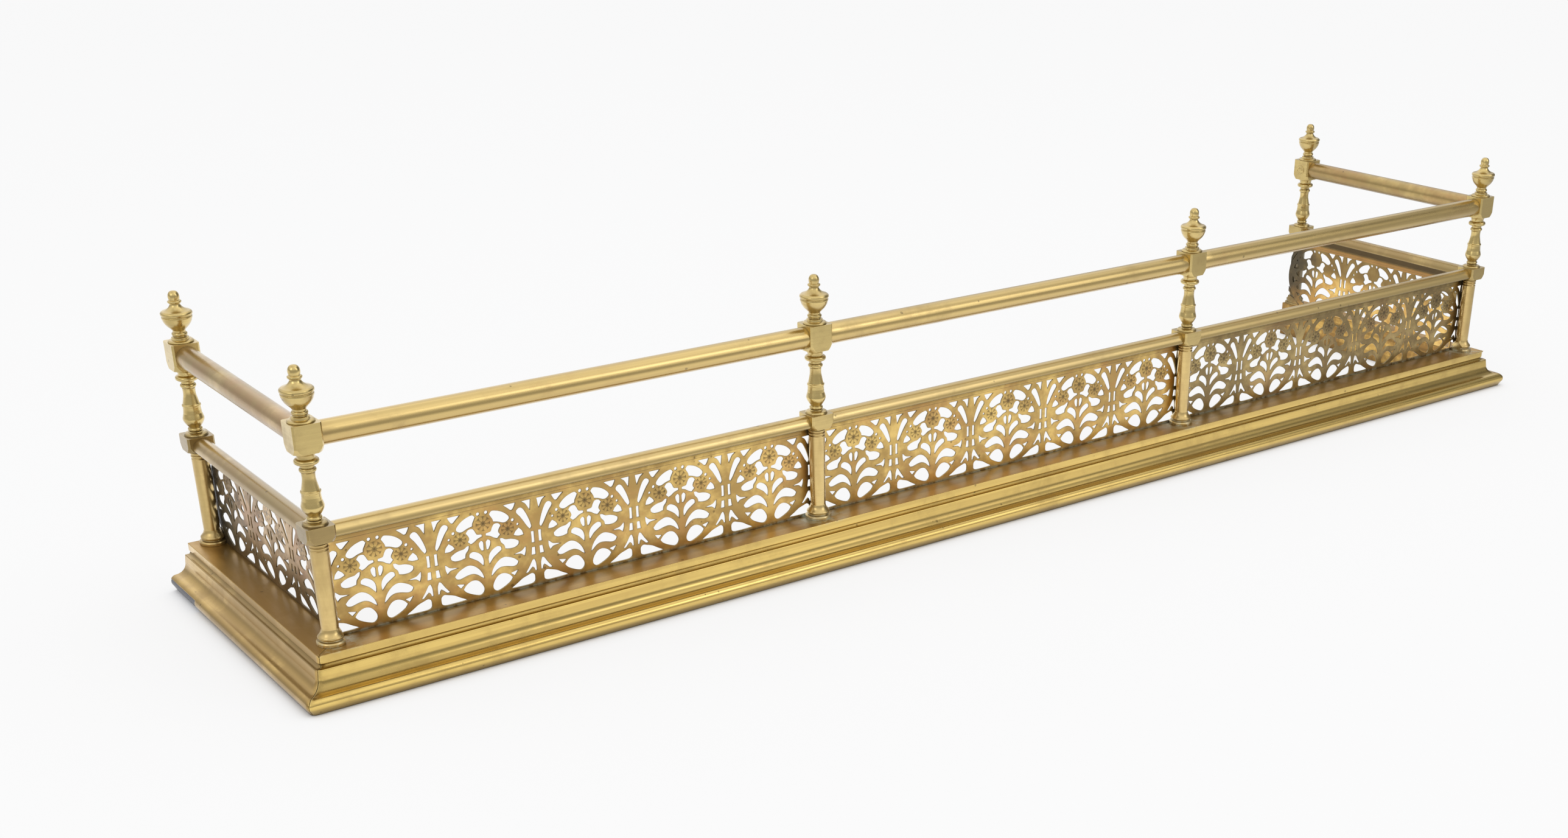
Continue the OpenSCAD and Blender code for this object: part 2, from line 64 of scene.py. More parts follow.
postAt = {name: middle("finial_" + name) for name in postNames}
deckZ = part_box("leg_front_left")[0].z
frontY = postAt["front_left"].y
rearY = postAt["rear_left"].y
leftX = postAt["front_left"].x
rightX = postAt["front_right"].x
bayLength = (rightX - leftX) / 3 / mm
sideLength = (postAt["rear_right"].y - frontY) / mm


camera = {
    "place": (-1.1097, -1.4136, 0.6404), "turn": -38.35, "tilt": 64.10, "roll": 0.66, "lens": 44.13,
    "shiftX": -0.1005, "shiftY": 0.1688,
}


def makeCamera():
    data = bpy.data.cameras.new("camera")
    data.sensor_width = 36
    data.sensor_fit = "HORIZONTAL"
    data.lens = camera["lens"]
    data.shift_x = camera["shiftX"]
    data.shift_y = camera["shiftY"]
    data.dof.use_dof = False
    data.clip_start = 0.05
    eye = bpy.data.objects.new("camera", data)
    turn = spin(camera["turn"], "Z", 4) @ spin(camera["tilt"], "X", 4) @ spin(camera["roll"], "Z", 4)
    eye.matrix_world = Matrix.Translation(camera["place"]) @ turn
    scene.collection.objects.link(eye)
    scene.camera = eye
    scene.view_settings.view_transform = "Standard"


def tint(red, green, blue):
    def straight(value):
        value = value / 255
        if value <= 0.04045:
            return value / 12.92
        return ((value + 0.055) / 1.055) ** 2.4
    return (straight(red), straight(green), straight(blue), 1)


# The value at a node's output, which adds and multiplies like a number
class Wire:
    def __init__(self, socket):
        self.socket = socket

    def __mul__(self, other):
        return calc("MULTIPLY", self, other)

    def __add__(self, other):
        return calc("ADD", self, other)

    def __sub__(self, other):
        return calc("SUBTRACT", self, other)

    def __rsub__(self, other):
        return calc("SUBTRACT", other, self)

    def capped(self):
        self.socket.node.use_clamp = True
        return self


# A node's outputs as wires, by name or number
class Outputs:
    def __init__(self, node):
        self.node = node

    def __getitem__(self, key):
        return Wire(self.node.outputs[key])


def treeOf(*values):
    return next(value.socket.id_data for value in values if isinstance(value, Wire))


def put(tree, kind, inputs=None, **settings):
    made = tree.nodes.new("ShaderNode" + kind)
    for key, value in settings.items():
        setattr(made, key, value)
    for key, value in (inputs or {}).items():
        if isinstance(value, Wire):
            tree.links.new(value.socket, made.inputs[key])
        else:
            made.inputs[key].default_value = value
    return Outputs(made)


def calc(operation, first, second=0.0):
    return put(treeOf(first, second), "Math", {0: first, 1: second}, operation=operation)[0]


def vectors(operation, output, first, second=(0, 0, 0)):
    inputs = {0: first, 1: second}
    return put(treeOf(first), "VectorMath", inputs, operation=operation)[output]


def fade(value, low, high, toLow=0.0, toHigh=1.0):
    inputs = {"Value": value, "From Min": low, "From Max": high, "To Min": toLow, "To Max": toHigh}
    return put(treeOf(value), "MapRange", inputs, interpolation_type="SMOOTHSTEP")[0]


def inRange(value, limits, soft):
    low, high = limits
    return fade(value, low - soft, low + soft) * fade(value, high + soft, high - soft)


def blend(share, first, second):
    return put(treeOf(share, first), "Mix", {0: share, 6: first, 7: second}, data_type="RGBA")[2]


def between(share, first, second):
    inputs = {0: share, 2: first, 3: second}
    return put(treeOf(share, first, second), "Mix", inputs, data_type="FLOAT")[0]


def stretched(place, scale):
    return put(treeOf(place), "Mapping", {"Vector": place, "Scale": scale})[0]


def noisy(place, scale, detail, roughness=0.5):
    inputs = {"Vector": place, "Scale": scale, "Detail": detail, "Roughness": roughness}
    return put(treeOf(place), "TexNoise", inputs)[0]


def parted(tree, vector):
    return put(tree, "SeparateXYZ", {0: vector})


def withNodes(owner):
    owner.use_nodes = True
    owner.node_tree.nodes.clear()
    return owner, owner.node_tree


# The rays of this tree, and the share of them that come by a mirror or through glass
def rays(tree):
    path = put(tree, "LightPath")
    return path, calc("MAXIMUM", path["Is Glossy Ray"], path["Is Transmission Ray"])


# The studio: white all round for the camera, and for the brass a room of lighter and darker zones.
# A zone's turn is from +X toward +Y and its height from the floor's plane, both in degrees.
studio = {
    "ambient": 0.82, "white": 1.0, "paper": (1, 1, 1, 1), "horizon": 0.52, "overhead": 1.08,
    "rise": (5, 40),
    "zones": [
        {"turn": (60, 92), "height": (-90, 58), "soft": 16, "level": 1.2},
        {"turn": (-35, 22), "height": (-10, 42), "soft": 8, "level": 0.2},
        {"turn": (-200, 200), "height": (64, 120), "soft": 8, "level": 0.75},
        {"turn": (-62, -49), "height": (27, 44), "soft": 5, "level": 3.0},
    ],
    "floorSize": 14, "floorSink": 0.0004, "floorTone": (0.86, 0.86, 0.87, 1), "floorGlow": 0.8,
    "floorCentre": (0.2, 0.0, 0.0), "floorShape": (0.75, 1.0, 1.0), "floorNear": 1.45,
    "floorFar": 0.45, "floorFade": (0.35, 1.2), "floorLeft": 0.95, "leftFrom": (-0.69, -0.74),
    "leftBack": (-0.12, 0.06), "floorBehind": 1.15, "behindFrom": (0.2, 0.45), "contact": 0.02,
    "contactFade": (0.15, 1.0),
    "lamps": [
        ("lampOver", (0.2, -0.2, 2.6), (0.0, 0.0, 0.1), 3.0, 2.6, 9.0),
        ("lampLeft", (-2.5, -0.7, 1.5), (0.0, 0.0, 0.1), 1.0, 1.0, 4.5),
        ("lampRight", (1.7, -2.4, 1.4), (0.1, 0.0, 0.1), 1.5, 1.5, 6.0),
    ],
}


def makeWorld():
    world, tree = withNodes(bpy.data.worlds.new("studio"))
    x, y, z = parted(tree, put(tree, "TexCoord")["Generated"])
    turn = calc("DEGREES", calc("ARCTAN2", y, x))
    height = calc("DEGREES", calc("ARCSINE", z))
    room = fade(height, *studio["rise"], studio["horizon"], studio["overhead"])
    for zone in studio["zones"]:
        share = inRange(turn, zone["turn"], zone["soft"])
        share = share * inRange(height, zone["height"], zone["soft"])
        room = between(share, room, zone["level"])
    path, mirrored = rays(tree)
    level = between(mirrored, studio["ambient"], room)
    level = between(path["Is Camera Ray"], level, studio["white"])
    light = put(tree, "Background", {"Color": studio["paper"], "Strength": level})[0]
    put(tree, "OutputWorld", {"Surface": light})
    scene.world = world


def makeLamps():
    for name, place, target, width, depth, power in studio["lamps"]:
        data = bpy.data.lights.new(name, "AREA")
        data.shape = "RECTANGLE"
        data.size = width
        data.size_y = depth
        data.energy = power
        lamp = bpy.data.objects.new(name, data)
        lamp.location = place
        lamp.rotation_euler = (Vector(target) - Vector(place)).to_track_quat("-Z", "Y").to_euler()
        scene.collection.objects.link(lamp)


# The floor keeps a share of the light and shadow that fall on it; the rest is the white backdrop's.
# What the brass mirrors of it is brighter near the fender and set apart on its left and behind it.
def makeFloor():
    bm = bmesh.new()
    bmesh.ops.create_grid(bm, x_segments=1, y_segments=1, size=studio["floorSize"])
    bmesh.ops.translate(bm, verts=bm.verts, vec=(0, 0, -studio["floorSink"]))
    mesh = bpy.data.meshes.new("studioFloor")
    bm.to_mesh(mesh)
    bm.free()
    floor = bpy.data.objects.new("studioFloor", mesh)
    scene.collection.objects.link(floor)
    material, tree = withNodes(bpy.data.materials.new("paleFloor"))
    path, mirrored = rays(tree)
    place = put(tree, "TexCoord")["Object"]
    out = vectors("MULTIPLY", 0, vectors("ADD", 0, place, studio["floorCentre"]), studio["floorShape"])
    out = vectors("LENGTH", 1, out)
    level = fade(out, *studio["floorFade"], studio["floorNear"], studio["floorFar"])
    x, y, z = parted(tree, place)
    besideIt = fade(x, *studio["leftFrom"]) * fade(y, *studio["leftBack"])
    level = between(besideIt, level, studio["floorLeft"])
    level = between(fade(y, *studio["behindFrom"]), level, studio["floorBehind"])
    level = between(mirrored, studio["white"], level)
    paper = put(tree, "BsdfDiffuse", {"Color": studio["floorTone"]})[0]
    glow = put(tree, "Emission", {"Color": studio["paper"], "Strength": level})[0]
    clear = put(tree, "AmbientOcclusion", {"Distance": studio["contact"]}, samples=12)["AO"]
    seen = calc("MAXIMUM", path["Is Camera Ray"], mirrored)
    share = seen * fade(clear, *studio["contactFade"], 0.0, studio["floorGlow"])
    both = put(tree, "MixShader", {0: share, 1: paper, 2: glow})[0]
    put(tree, "OutputMaterial", {"Surface": both})
    mesh.materials.append(material)


makeCamera()
makeWorld()
makeLamps()
makeFloor()
print("studio ready")


# A group's inputs are numbers with their first values, or vectors where there is none
def startGroup(name, **inputs):
    group = bpy.data.node_groups.new(name, "ShaderNodeTree")
    for label, value in inputs.items():
        kind = "NodeSocketVector" if value is None else "NodeSocketFloat"
        socket = group.interface.new_socket(name=label, in_out="INPUT", socket_type=kind)
        if value is not None:
            socket.default_value = value
    return group, Outputs(group.nodes.new("NodeGroupInput"))


def endGroup(group, **results):
    for label in results:
        group.interface.new_socket(name=label, in_out="OUTPUT", socket_type="NodeSocketFloat")
    taken = group.nodes.new("NodeGroupOutput").inputs
    for label, wire in results.items():
        group.links.new(wire.socket, taken[label])
    return group


def use(tree, group, **inputs):
    return put(tree, "Group", inputs, node_tree=group)


def makeTarnishClouds():
    group, given = startGroup("tarnishClouds", Place=None, Scale=20.0, Cover=0.5, Edge=0.2)
    wide = noisy(given["Place"], given["Scale"], 5.0, 0.6)
    close = noisy(given["Place"], given["Scale"] * 4.7, 4.0, 0.6)
    low = given["Cover"] * -0.5 + 0.72
    return endGroup(group, Mask=fade(between(0.3, wide, close), low, low + given["Edge"]))


def makeHandGrain():
    group, given = startGroup("handGrain", Place=None, Fineness=900.0)
    fine = noisy(given["Place"], given["Fineness"], 3.0, 0.55)
    broad = noisy(given["Place"], given["Fineness"] * 0.17, 2.0)
    return endGroup(group, Height=between(0.35, fine, broad), Streak=fade(broad, 0.38, 0.62))


def makeGrooveDirt():
    group, given = startGroup("grooveDirt", Reach=0.004, Start=0.2)
    shade = put(group, "AmbientOcclusion", {"Distance": given["Reach"]}, samples=8)["AO"]
    return endGroup(group, Dirt=fade(1.0 - shade, given["Start"], 0.85))


def makeWornEdge():
    group, given = startGroup("wornEdge", Width=0.0005)
    rounded = put(group, "Bevel", {"Radius": given["Width"]}, samples=4)[0]
    flat = put(group, "NewGeometry")["Normal"]
    return endGroup(group, Wear=fade(vectors("DOT_PRODUCT", 1, rounded, flat), 0.985, 0.88))


def makeSpecks():
    group, given = startGroup("specks", Place=None, Scale=260.0, Cover=0.3)
    dots = put(group, "TexVoronoi", {"Vector": given["Place"], "Scale": given["Scale"]})
    size = fade(parted(group, dots["Color"])[0], 1.0 - given["Cover"], 1.0, 0.0, 0.32)
    return endGroup(group, Speck=calc("LESS_THAN", dots["Distance"], size))


# White and green residue at the deck: round the posts, and thinner along the sheet's foot
def makeLowResidue():
    group, given = startGroup(
        "lowResidue", Place=None, Level=0.038, Rise=0.01, First=0.0, Pitch=0.44, Line=0.0, Foot=0.0,
    )
    x, y, z = parted(group, given["Place"])
    low = fade(calc("ABSOLUTE", z - given["Level"]), given["Rise"], 0.0)
    along = calc("PINGPONG", x - given["First"], given["Pitch"] * 0.5)
    away = put(group, "CombineXYZ", {0: along, 1: y - given["Line"]})[0]
    beside = fade(vectors("LENGTH", 1, away), 0.030, 0.012)
    line = fade(calc("ABSOLUTE", y - given["Foot"]), 0.003, 0.001, 0.0, 0.6)
    broken = fade(noisy(given["Place"], 150.0, 5.0, 0.65), 0.40, 0.58)
    return endGroup(group, Mask=low * broken * calc("MAXIMUM", beside, line))


# Smoke from the hearth, thick round one place and broken toward its edge
def makeSmoke():
    group, given = startGroup("smoke", Place=None, Centre=None, Reach=0.1)
    away = vectors("DISTANCE", 1, given["Place"], given["Centre"])
    broken = noisy(given["Place"], 45.0, 5.0, 0.65) - 0.5
    return endGroup(group, Mask=fade(calc("DIVIDE", away, given["Reach"]) + broken, 1.15, 0.35))


tarnishClouds = makeTarnishClouds()
handGrain = makeHandGrain()
grooveDirt = makeGrooveDirt()
wornEdge = makeWornEdge()
specks = makeSpecks()
lowResidue = makeLowResidue()
smoke = makeSmoke()

# The tone for surfaces facing down is painted shade; the darkest tone serves both real grime and
# painted shade
brassTones = {
    "bright": tint(204, 184, 118), "deep": tint(158, 134, 82), "copper": tint(172, 128, 82),
    "deck": tint(180, 142, 76), "under": tint(120, 98, 56), "grime": tint(74, 58, 30),
    "edge": tint(236, 212, 144), "sawn": tint(120, 106, 74), "smoke": tint(60, 56, 42),
    "residue": tint(196, 204, 188), "iron": tint(96, 96, 102),
}

# What all brass finishes have in common, with distances in metres
brassCommon = {
    "cloudEdge": 0.22, "copperWay": (1.0, 1.0, 1.6), "copperScale": 0.7, "copperEdge": 0.16,
    "speckScale": 240.0, "speck": 0.5, "speckDepth": 0.00004, "residueKept": 0.45,
    "under": (0.15, -0.9), "above": (0.45, 0.98), "aboveFrom": 0.003, "aboveTo": 0.001,
    "dentScale": 5, "coatRough": 0.2,
}
# How much rougher, and how much less metallic, each layer makes the surface
rougher = {"tarnish": 0.14, "streak": 0.05, "dirt": 0.3, "above": 0.22, "smoke": 0.25, "torn": 0.4}
duller = {"dirt": 0.5, "smoke": 0.4, "torn": 0.8}


def attribute(tree, name):
    return put(tree, "Attribute", attribute_name=name)["Fac"]


def dressed(material, colour, metal, rough, height, coat=None):
    tree = material.node_tree
    bump = put(tree, "Bump", {"Height": height, "Strength": 1.0, "Distance": 1.0})[0]
    inputs = {"Base Color": colour, "Metallic": metal, "Roughness": rough, "Normal": bump}
    shader = put(tree, "BsdfPrincipled", dict(inputs, **(coat or {})))
    put(tree, "OutputMaterial", {"Surface": shader[0]})
    return material


# One brass finish: polished metal under uneven tarnish, with dirt kept in its grooves, and painted
# shade where it faces down and in set bands
def brass(name, look):
    material, tree = withNodes(bpy.data.materials.new(name))
    common = brassCommon
    tones = dict(brassTones, **look.get("tones", {}))
    coord = put(tree, "TexCoord")
    place = coord["Object"]
    axes = parted(tree, place)
    drawn = stretched(place, look["cloudWay"])
    tarnish = use(
        tree, tarnishClouds, Place=drawn, Scale=look["cloud"], Cover=look["tarnish"],
        Edge=common["cloudEdge"],
    )["Mask"]
    copper = use(
        tree, tarnishClouds, Place=stretched(drawn, common["copperWay"]), Cover=look["copper"],
        Scale=look["cloud"] * common["copperScale"], Edge=common["copperEdge"],
    )["Mask"]
    grain = use(tree, handGrain, Place=stretched(place, look["grainWay"]), Fineness=look["fineness"])
    dirt = use(tree, grooveDirt, Reach=look["dirtReach"], Start=look["dirtStart"])["Dirt"]
    worn = use(tree, wornEdge, Width=look["edgeWidth"])["Wear"]
    speck = use(tree, specks, Place=place, Scale=common["speckScale"], Cover=look["specks"])["Speck"]
    residue = use(
        tree, lowResidue, Place=place, Level=deckZ, Rise=look["rise"], First=leftX,
        Pitch=bayLength * mm, Line=frontY, Foot=frontY + look["foot"],
    )["Mask"]
    residue = residue * (dirt + common["residueKept"]).capped()
    facing = parted(tree, coord["Normal"])[2]
    atDeck = fade(axes[2], deckZ - common["aboveFrom"], deckZ - common["aboveTo"])
    above = fade(facing, *common["above"]) * atDeck

    # From the metal up: how much of each layer shows, and its tone
    layers = [
        (tarnish * look["tarnishDepth"], "deep"),
        (copper * look["copperDepth"], "copper"),
        (grain["Streak"] * look["streak"], "deep"),
        # Painted shade: surfaces that face down are darker
        (fade(facing, *common["under"]) * look["under"], "under"),
        (above * look["above"], "deck"),
        (speck * common["speck"], "grime"),
    ]
    # Bands and hollows darken set heights or distances; most of them are painted shade
    for axis, start, end, depth, tone in look.get("bands", []):
        layers.append((fade(axes[axis], start, end) * depth, tone))
    for axis, low, high, soft, depth, tone in look.get("hollows", []):
        layers.append((inRange(axes[axis], (low, high), soft) * depth, tone))
    if look.get("chased"):
        # Painted shade along the edges of the openings, deeper where tarnished; the opening walls take
        # the same tone
        rim = use(tree, wornEdge, Width=look["rimWidth"])["Wear"] * (tarnish * 0.5 + 0.5)
        layers.append((rim * look["rim"], "sawn"))
        layers.append((attribute(tree, "sawnEdge") * look["sawn"], "sawn"))
        layers.append((attribute(tree, "chased") * look["chased"], "grime"))
    smoky = 0.0
    for centre, reach, depth in look.get("smoke", []):
        patch = use(tree, smoke, Place=place, Centre=centre, Reach=reach)["Mask"] * depth
        smoky = calc("MAXIMUM", smoky, patch)
    torn = attribute(tree, "torn") if look.get("torn") else 0.0
    layers.append((smoky, "smoke"))
    layers.append((worn * (1.0 - dirt) * look["edge"], "edge"))
    layers.append((dirt * look["dirt"], "grime"))
    layers.append((residue * look["residue"], "residue"))
    layers.append((torn, "iron"))
    colour = tones["bright"]
    for amount, tone in layers:
        colour = blend(amount, colour, tones[tone])

    rough = between(tarnish, look["gloss"], look["gloss"] + rougher["tarnish"])
    rough = rough + grain["Streak"] * rougher["streak"] + dirt * rougher["dirt"]
    rough = rough + above * (look["above"] * rougher["above"])
    rough = (rough + smoky * rougher["smoke"] + torn * rougher["torn"]).capped()
    dull = dirt * (look["dirt"] * duller["dirt"]) + smoky * duller["smoke"]
    metal = (1.0 - (dull + residue * look["residue"] + torn * duller["torn"])).capped()
    dents = noisy(place, look["cloud"] * common["dentScale"], 2.0)
    height = grain["Height"] * look["grainDepth"] + dents * look["dentDepth"]
    height = height - speck * common["speckDepth"]
    coat = {"Coat Weight": look["coat"], "Coat Roughness": common["coatRough"]}
    return dressed(material, colour, metal, rough, height, coat)


def metres(place):
    return Matrix.Translation(place) @ Matrix.Scale(mm, 4)


# Each run's own frame: along it, outward from the fender, and up, drawn in millimetres
def runFrame(side, start=0.0):
    along, out, x, y = {
        "front": ((1, 0), (0, -1), leftX + start * mm, frontY),
        "right": ((0, 1), (1, 0), rightX, frontY + start * mm),
        "left": ((0, 1), (-1, 0), leftX, frontY + start * mm),
    }[side]
    rows = ((along[0], out[0], 0, x), (along[1], out[1], 0, y), (0, 0, 1, 0), (0, 0, 0, 1))
    return Matrix(rows) @ Matrix.Scale(mm, 4)


def shift(bm, vec):
    bmesh.ops.translate(bm, verts=bm.verts, vec=vec)


def reframe(bm, matrix):
    bmesh.ops.transform(bm, matrix=matrix, verts=bm.verts)


def vertsOf(items):
    return [item for item in items if isinstance(item, bmesh.types.BMVert)]


def edgesOf(items):
    return [item for item in items if isinstance(item, bmesh.types.BMEdge)]


cornerFinish = {"steps": 2, "from": 32, "evenness": 60}


# A worn piece has its corners rounded off; a sharp one keeps the edges that turn more than that
def finishPiece(name, bm, material, nodes, slotName, worn=0.0, sharp=None):
    mesh = bpy.data.meshes.new(name)
    bm.to_mesh(mesh)
    bm.free()
    mesh.materials.append(material)
    for face in mesh.polygons:
        face.use_smooth = True
    piece = bpy.data.objects.new(name, mesh)
    scene.collection.objects.link(piece)
    if sharp:
        mesh.set_sharp_from_angle(angle=math.radians(sharp))
    if worn:
        bevel = piece.modifiers.new("wornCorners", "BEVEL")
        bevel.width = worn * mm
        bevel.segments = cornerFinish["steps"]
        bevel.limit_method = "ANGLE"
        bevel.angle_limit = math.radians(cornerFinish["from"])
        bevel.use_clamp_overlap = True
    weighted = piece.modifiers.new("evenShade", "WEIGHTED_NORMAL")
    weighted.weight = cornerFinish["evenness"]
    weighted.keep_sharp = bool(sharp)
    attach(piece, "root")
    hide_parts(*nodes)
    return piece


# How near, in millimetres, two points are one, and how near a cut a point lies on it
near = {"same": 0.0005, "cut": 0.0001}


def closeUp(bm):
    bmesh.ops.remove_doubles(bm, verts=bm.verts, dist=near["same"])
    bmesh.ops.recalc_face_normals(bm, faces=bm.faces)


# A point between two others, on the curve that leaves and arrives by these tangents
def onCurve(here, leave, there, arrive, t):
    return (
        here * (2 * t ** 3 - 3 * t ** 2 + 1) + leave * (t ** 3 - 2 * t ** 2 + t)
        + there * (3 * t ** 2 - 2 * t ** 3) + arrive * (t ** 3 - t ** 2)
    )


# A smooth run through points, from the point before them
def eased(points, cuts):
    out = []
    for i, there in enumerate(points[1:]):
        here = points[i]
        before = points[i - 1] if i > 0 else 2 * here - there
        after = points[i + 2] if i + 2 < len(points) else 2 * there - here
        for step in range(1, cuts + 1):
            out.append(onCurve(here, (there - before) / 2, there, (after - here) / 2, step / cuts))
    return out


# Points on an arc, or on an ellipse where its rise is given too
def onArc(x, z, radius, angles, rise=None):
    rise = rise or radius
    return [(x + radius * math.cos(angle), z + rise * math.sin(angle)) for angle in angles]


def bead(radius, height, size):
    return onArc(radius, height, size, [math.radians(-80 + 20 * step) for step in range(9)])


# A row of points and the edges that join each to the next
def chain(bm, points):
    verts = [bm.verts.new(point) for point in points]
    return verts, [bm.edges.new(pair) for pair in zip(verts, verts[1:])]


def roundOff(bm, verts, offset, segments=2):
    bmesh.ops.bevel(
        bm, geom=verts, offset=offset, offset_type="OFFSET", segments=segments, profile=0.5,
        affect="VERTICES", clamp_overlap=True, material=-1,
    )


# A profile is a list of cuts: one point is a straight cut, several are one smooth sweep
def drawProfile(bm, profile, corner):
    points = [Vector(profile[0][0])]
    corners = []
    for cut in profile[1:]:
        corners.append(len(points) - 1)
        sweep = [Vector(point) for point in cut]
        if 1 < len(cut) < 8:
            sweep = eased([points[-1]] + sweep, 4)
        points.extend(sweep)
    verts = chain(bm, [(point.x, 0, point.y) for point in points])[0]
    roundOff(bm, [verts[i] for i in corners if i > 0 and points[i].x > 0.01], corner)


def turned(profile, corner, steps):
    bm = bmesh.new()
    drawProfile(bm, profile, corner)
    bmesh.ops.spin(
        bm, geom=bm.verts[:] + bm.edges[:], cent=(0, 0, 0), axis=(0, 0, 1),
        angle=math.tau, steps=steps, use_merge=True,
    )
    closeUp(bm)
    return bm


# Cuts all edges and faces at a plane, and clears away what lies beyond it; gives the cut's parts
def sliced(bm, point, normal, clear=True):
    everything = bm.verts[:] + bm.edges[:] + bm.faces[:]
    return bmesh.ops.bisect_plane(
        bm, geom=everything, dist=near["cut"], plane_co=point, plane_no=normal, clear_outer=clear,
    )["geom_cut"]


def cutFlat(bm, point, normal):
    bmesh.ops.holes_fill(bm, edges=edgesOf(sliced(bm, point, normal)), sides=0)


def joined(parts):
    bm = bmesh.new()
    for part in parts:
        mesh = bpy.data.meshes.new("part")
        part.to_mesh(mesh)
        part.free()
        bm.from_mesh(mesh)
        bpy.data.meshes.remove(mesh)
    return bm


turnedLook = {
    "cloud": 34.0, "cloudWay": (1.0, 1.0, 1.0), "tarnish": 0.5, "tarnishDepth": 0.4, "copper": 0.3,
    "copperDepth": 0.2, "grainWay": (0.04, 0.04, 1.0), "fineness": 2600.0, "grainDepth": 0.000004,
    "dentDepth": 0.00003, "streak": 0.10, "dirtReach": 0.005, "dirtStart": 0.3, "dirt": 0.95,
    "edgeWidth": 0.0006, "edge": 0.5, "specks": 0.02, "rise": 0.007, "residue": 0.9, "foot": 0.0,
    "under": 0.3, "above": 0.1, "gloss": 0.24, "coat": 0.65,
    "tones": {"bright": tint(205, 181, 116)},
}
# Below the baluster the lower block is painted darker, much more on the two left posts
turnedBrass = brass("brassTurned", dict(turnedLook, bands=[(2, 0.1365, 0.1325, 0.3, "deep")]))
turnedBrassLeft = brass("brassTurnedLeft", dict(turnedLook, bands=[
    (2, 0.1365, 0.1325, 0.9, "deep"), (2, 0.1365, 0.1325, 0.25, "grime"),
]))
legBrass = brass("brassLeg", dict(turnedLook, **{
    "cloud": 30.0, "cloudWay": (1.0, 1.0, 0.3), "tarnish": 0.6, "tarnishDepth": 0.45, "copper": 0.4,
    "copperDepth": 0.25, "grainDepth": 0.000002, "streak": 0.04, "specks": 0.004,
    "smoke": [((rightX - 0.004, postAt["rear_right"].y, 0.078), 0.055, 0.75)],
    "tones": {"smoke": tint(112, 106, 94), "bright": tint(206, 179, 116), "deep": tint(166, 138, 82)},
}))

finial = {
    "steps": 56, "corner": 0.22,
    "profile": [
        [(0, 0)], [(10, 0)], [(10, 0.8)], [(9.1, 1.5), (8, 1.9), (6.8, 2.1)], [(6.8, 3.8)],
        [(5.6, 4.3)], bead(4.5, 6.4, 1.6), [(5, 8.6)],
        [(5.2, 9.6), (6.7, 11.3), (8.9, 13.6), (10.6, 16.3), (11.5, 18.9)], [(11.8, 19.6)],
        [(11.8, 20.5)], [(11.2, 20.9)], [(11.2, 21.5)],
        [(12, 22), (12.28, 22.9), (12, 24), (10.8, 25)],
        [(8.4, 25.8), (6.3, 27), (4.9, 28.4), (4.1, 29.8)], [(3.9, 30.9)], [(4.8, 31.2)],
        [(5.3, 31.8), (5.3, 32.7), (4.8, 33.2)], [(4, 33.5)],
        [(4.3, 34.7), (4.45, 35.9), (4.4, 37.1), (4, 38.5), (3.1, 39.9), (1.8, 40.7), (0, 41)],
    ],
}

baluster = {
    "steps": 56, "corner": 0.22,
    "profile": [
        [(0, -0.4)], [(9.5, -0.4)], [(9.5, 0.7)], [(8.8, 1.6), (7.4, 2.2), (6, 2.5)], [(5.4, 3.1)],
        bead(4.3, 5, 1.5), [(5, 7)],
        [(5.4, 7.7), (6.8, 9.7), (7.9, 11.8), (8.4, 13.8), (8, 15.9), (7.3, 18.4)], [(7, 21.1)],
        [(6.9, 24)], [(7.4, 24.4)], [(7.4, 25.6)], [(6.6, 26.2)],
        [(5.8, 29.8), (5, 34), (4.9, 37), (5.1, 39.4)], bead(4.5, 41.5, 1.8), [(5.2, 43.8)],
        [(5.2, 45.6)], bead(7, 48, 2.1), [(6.5, 50.4)], [(6.5, 51.6)], [(7, 53.4), (8.2, 55.2)],
        [(8.2, 55.9)], [(0, 55.9)],
    ],
}

block = {
    "width": 22.0, "chamfer": 1.5, "shoulder": [(12.4, 0), (13.6, 2.4), (14.7, 5.2)],
    "shoulderEnd": 8.4, "steps": 64, "worn": 0.45, "lowerHeight": 12.5, "upperHeight": 22.0,
}

leg = {
    "steps": 56, "corner": 0.25,
    "profile": [
        [(0, 0)], [(11.4, 0)], [(11.4, 2.2)], [(10.7, 3.1), (9.8, 3.4)], [(8.8, 3.7)], [(8.8, 4.5)],
        [(9.7, 4.9), (10.1, 5.8), (9.8, 6.7)], [(8.6, 8), (7.4, 9.8), (6.6, 12.2)], [(6.85, 57)],
        [(7, 74.4)], [(6.4, 74.9)], [(6.4, 75.5)], [(7.1, 75.9)], [(7.1, 77.1)], [(6.4, 77.5)],
        [(6.4, 78.1)], [(7.2, 78.5)], [(7.2, 79.7)], [(6.5, 80.1)], [(6.5, 80.6)], [(7.3, 81)],
        [(7.3, 82)], [(0, 82)],
    ],
    "flat": 7.4,
    "flatSides": {
        "rear_left": [(1, 0)], "front_left": [(1, 0), (0, 1)], "mid_left": [(0, 1)],
        "mid_right": [(0, 1)], "front_right": [(-1, 0), (0, 1)], "rear_right": [(-1, 0)],
    },
}


# A square block whose lower corners were turned away with the rest of the post
def squareBlock(height):
    half = block["width"] / 2
    reach = half * 1.5
    foot, *shoulder = block["shoulder"]
    shoulder.append((reach, block["shoulderEnd"]))
    profile = [[(0, 0)], [foot], shoulder, [(reach, height)], [(0, height)]]
    bm = turned(profile, near["cut"], block["steps"])
    slant = half * 2 - block["chamfer"]
    for x, y in ((1, 0), (-1, 0), (0, 1), (0, -1)):
        cutFlat(bm, (x * half, y * half, 0), (x, y, 0))
    for x, y in ((1, 1), (-1, 1), (1, -1), (-1, -1)):
        cutFlat(bm, (x * slant / 2, y * slant / 2, 0), (x, y, 0))
    closeUp(bm)
    bmesh.ops.dissolve_limit(
        bm, angle_limit=math.radians(1), verts=bm.verts[:], edges=bm.edges[:],
        use_dissolve_boundaries=False,
    )
    return bm


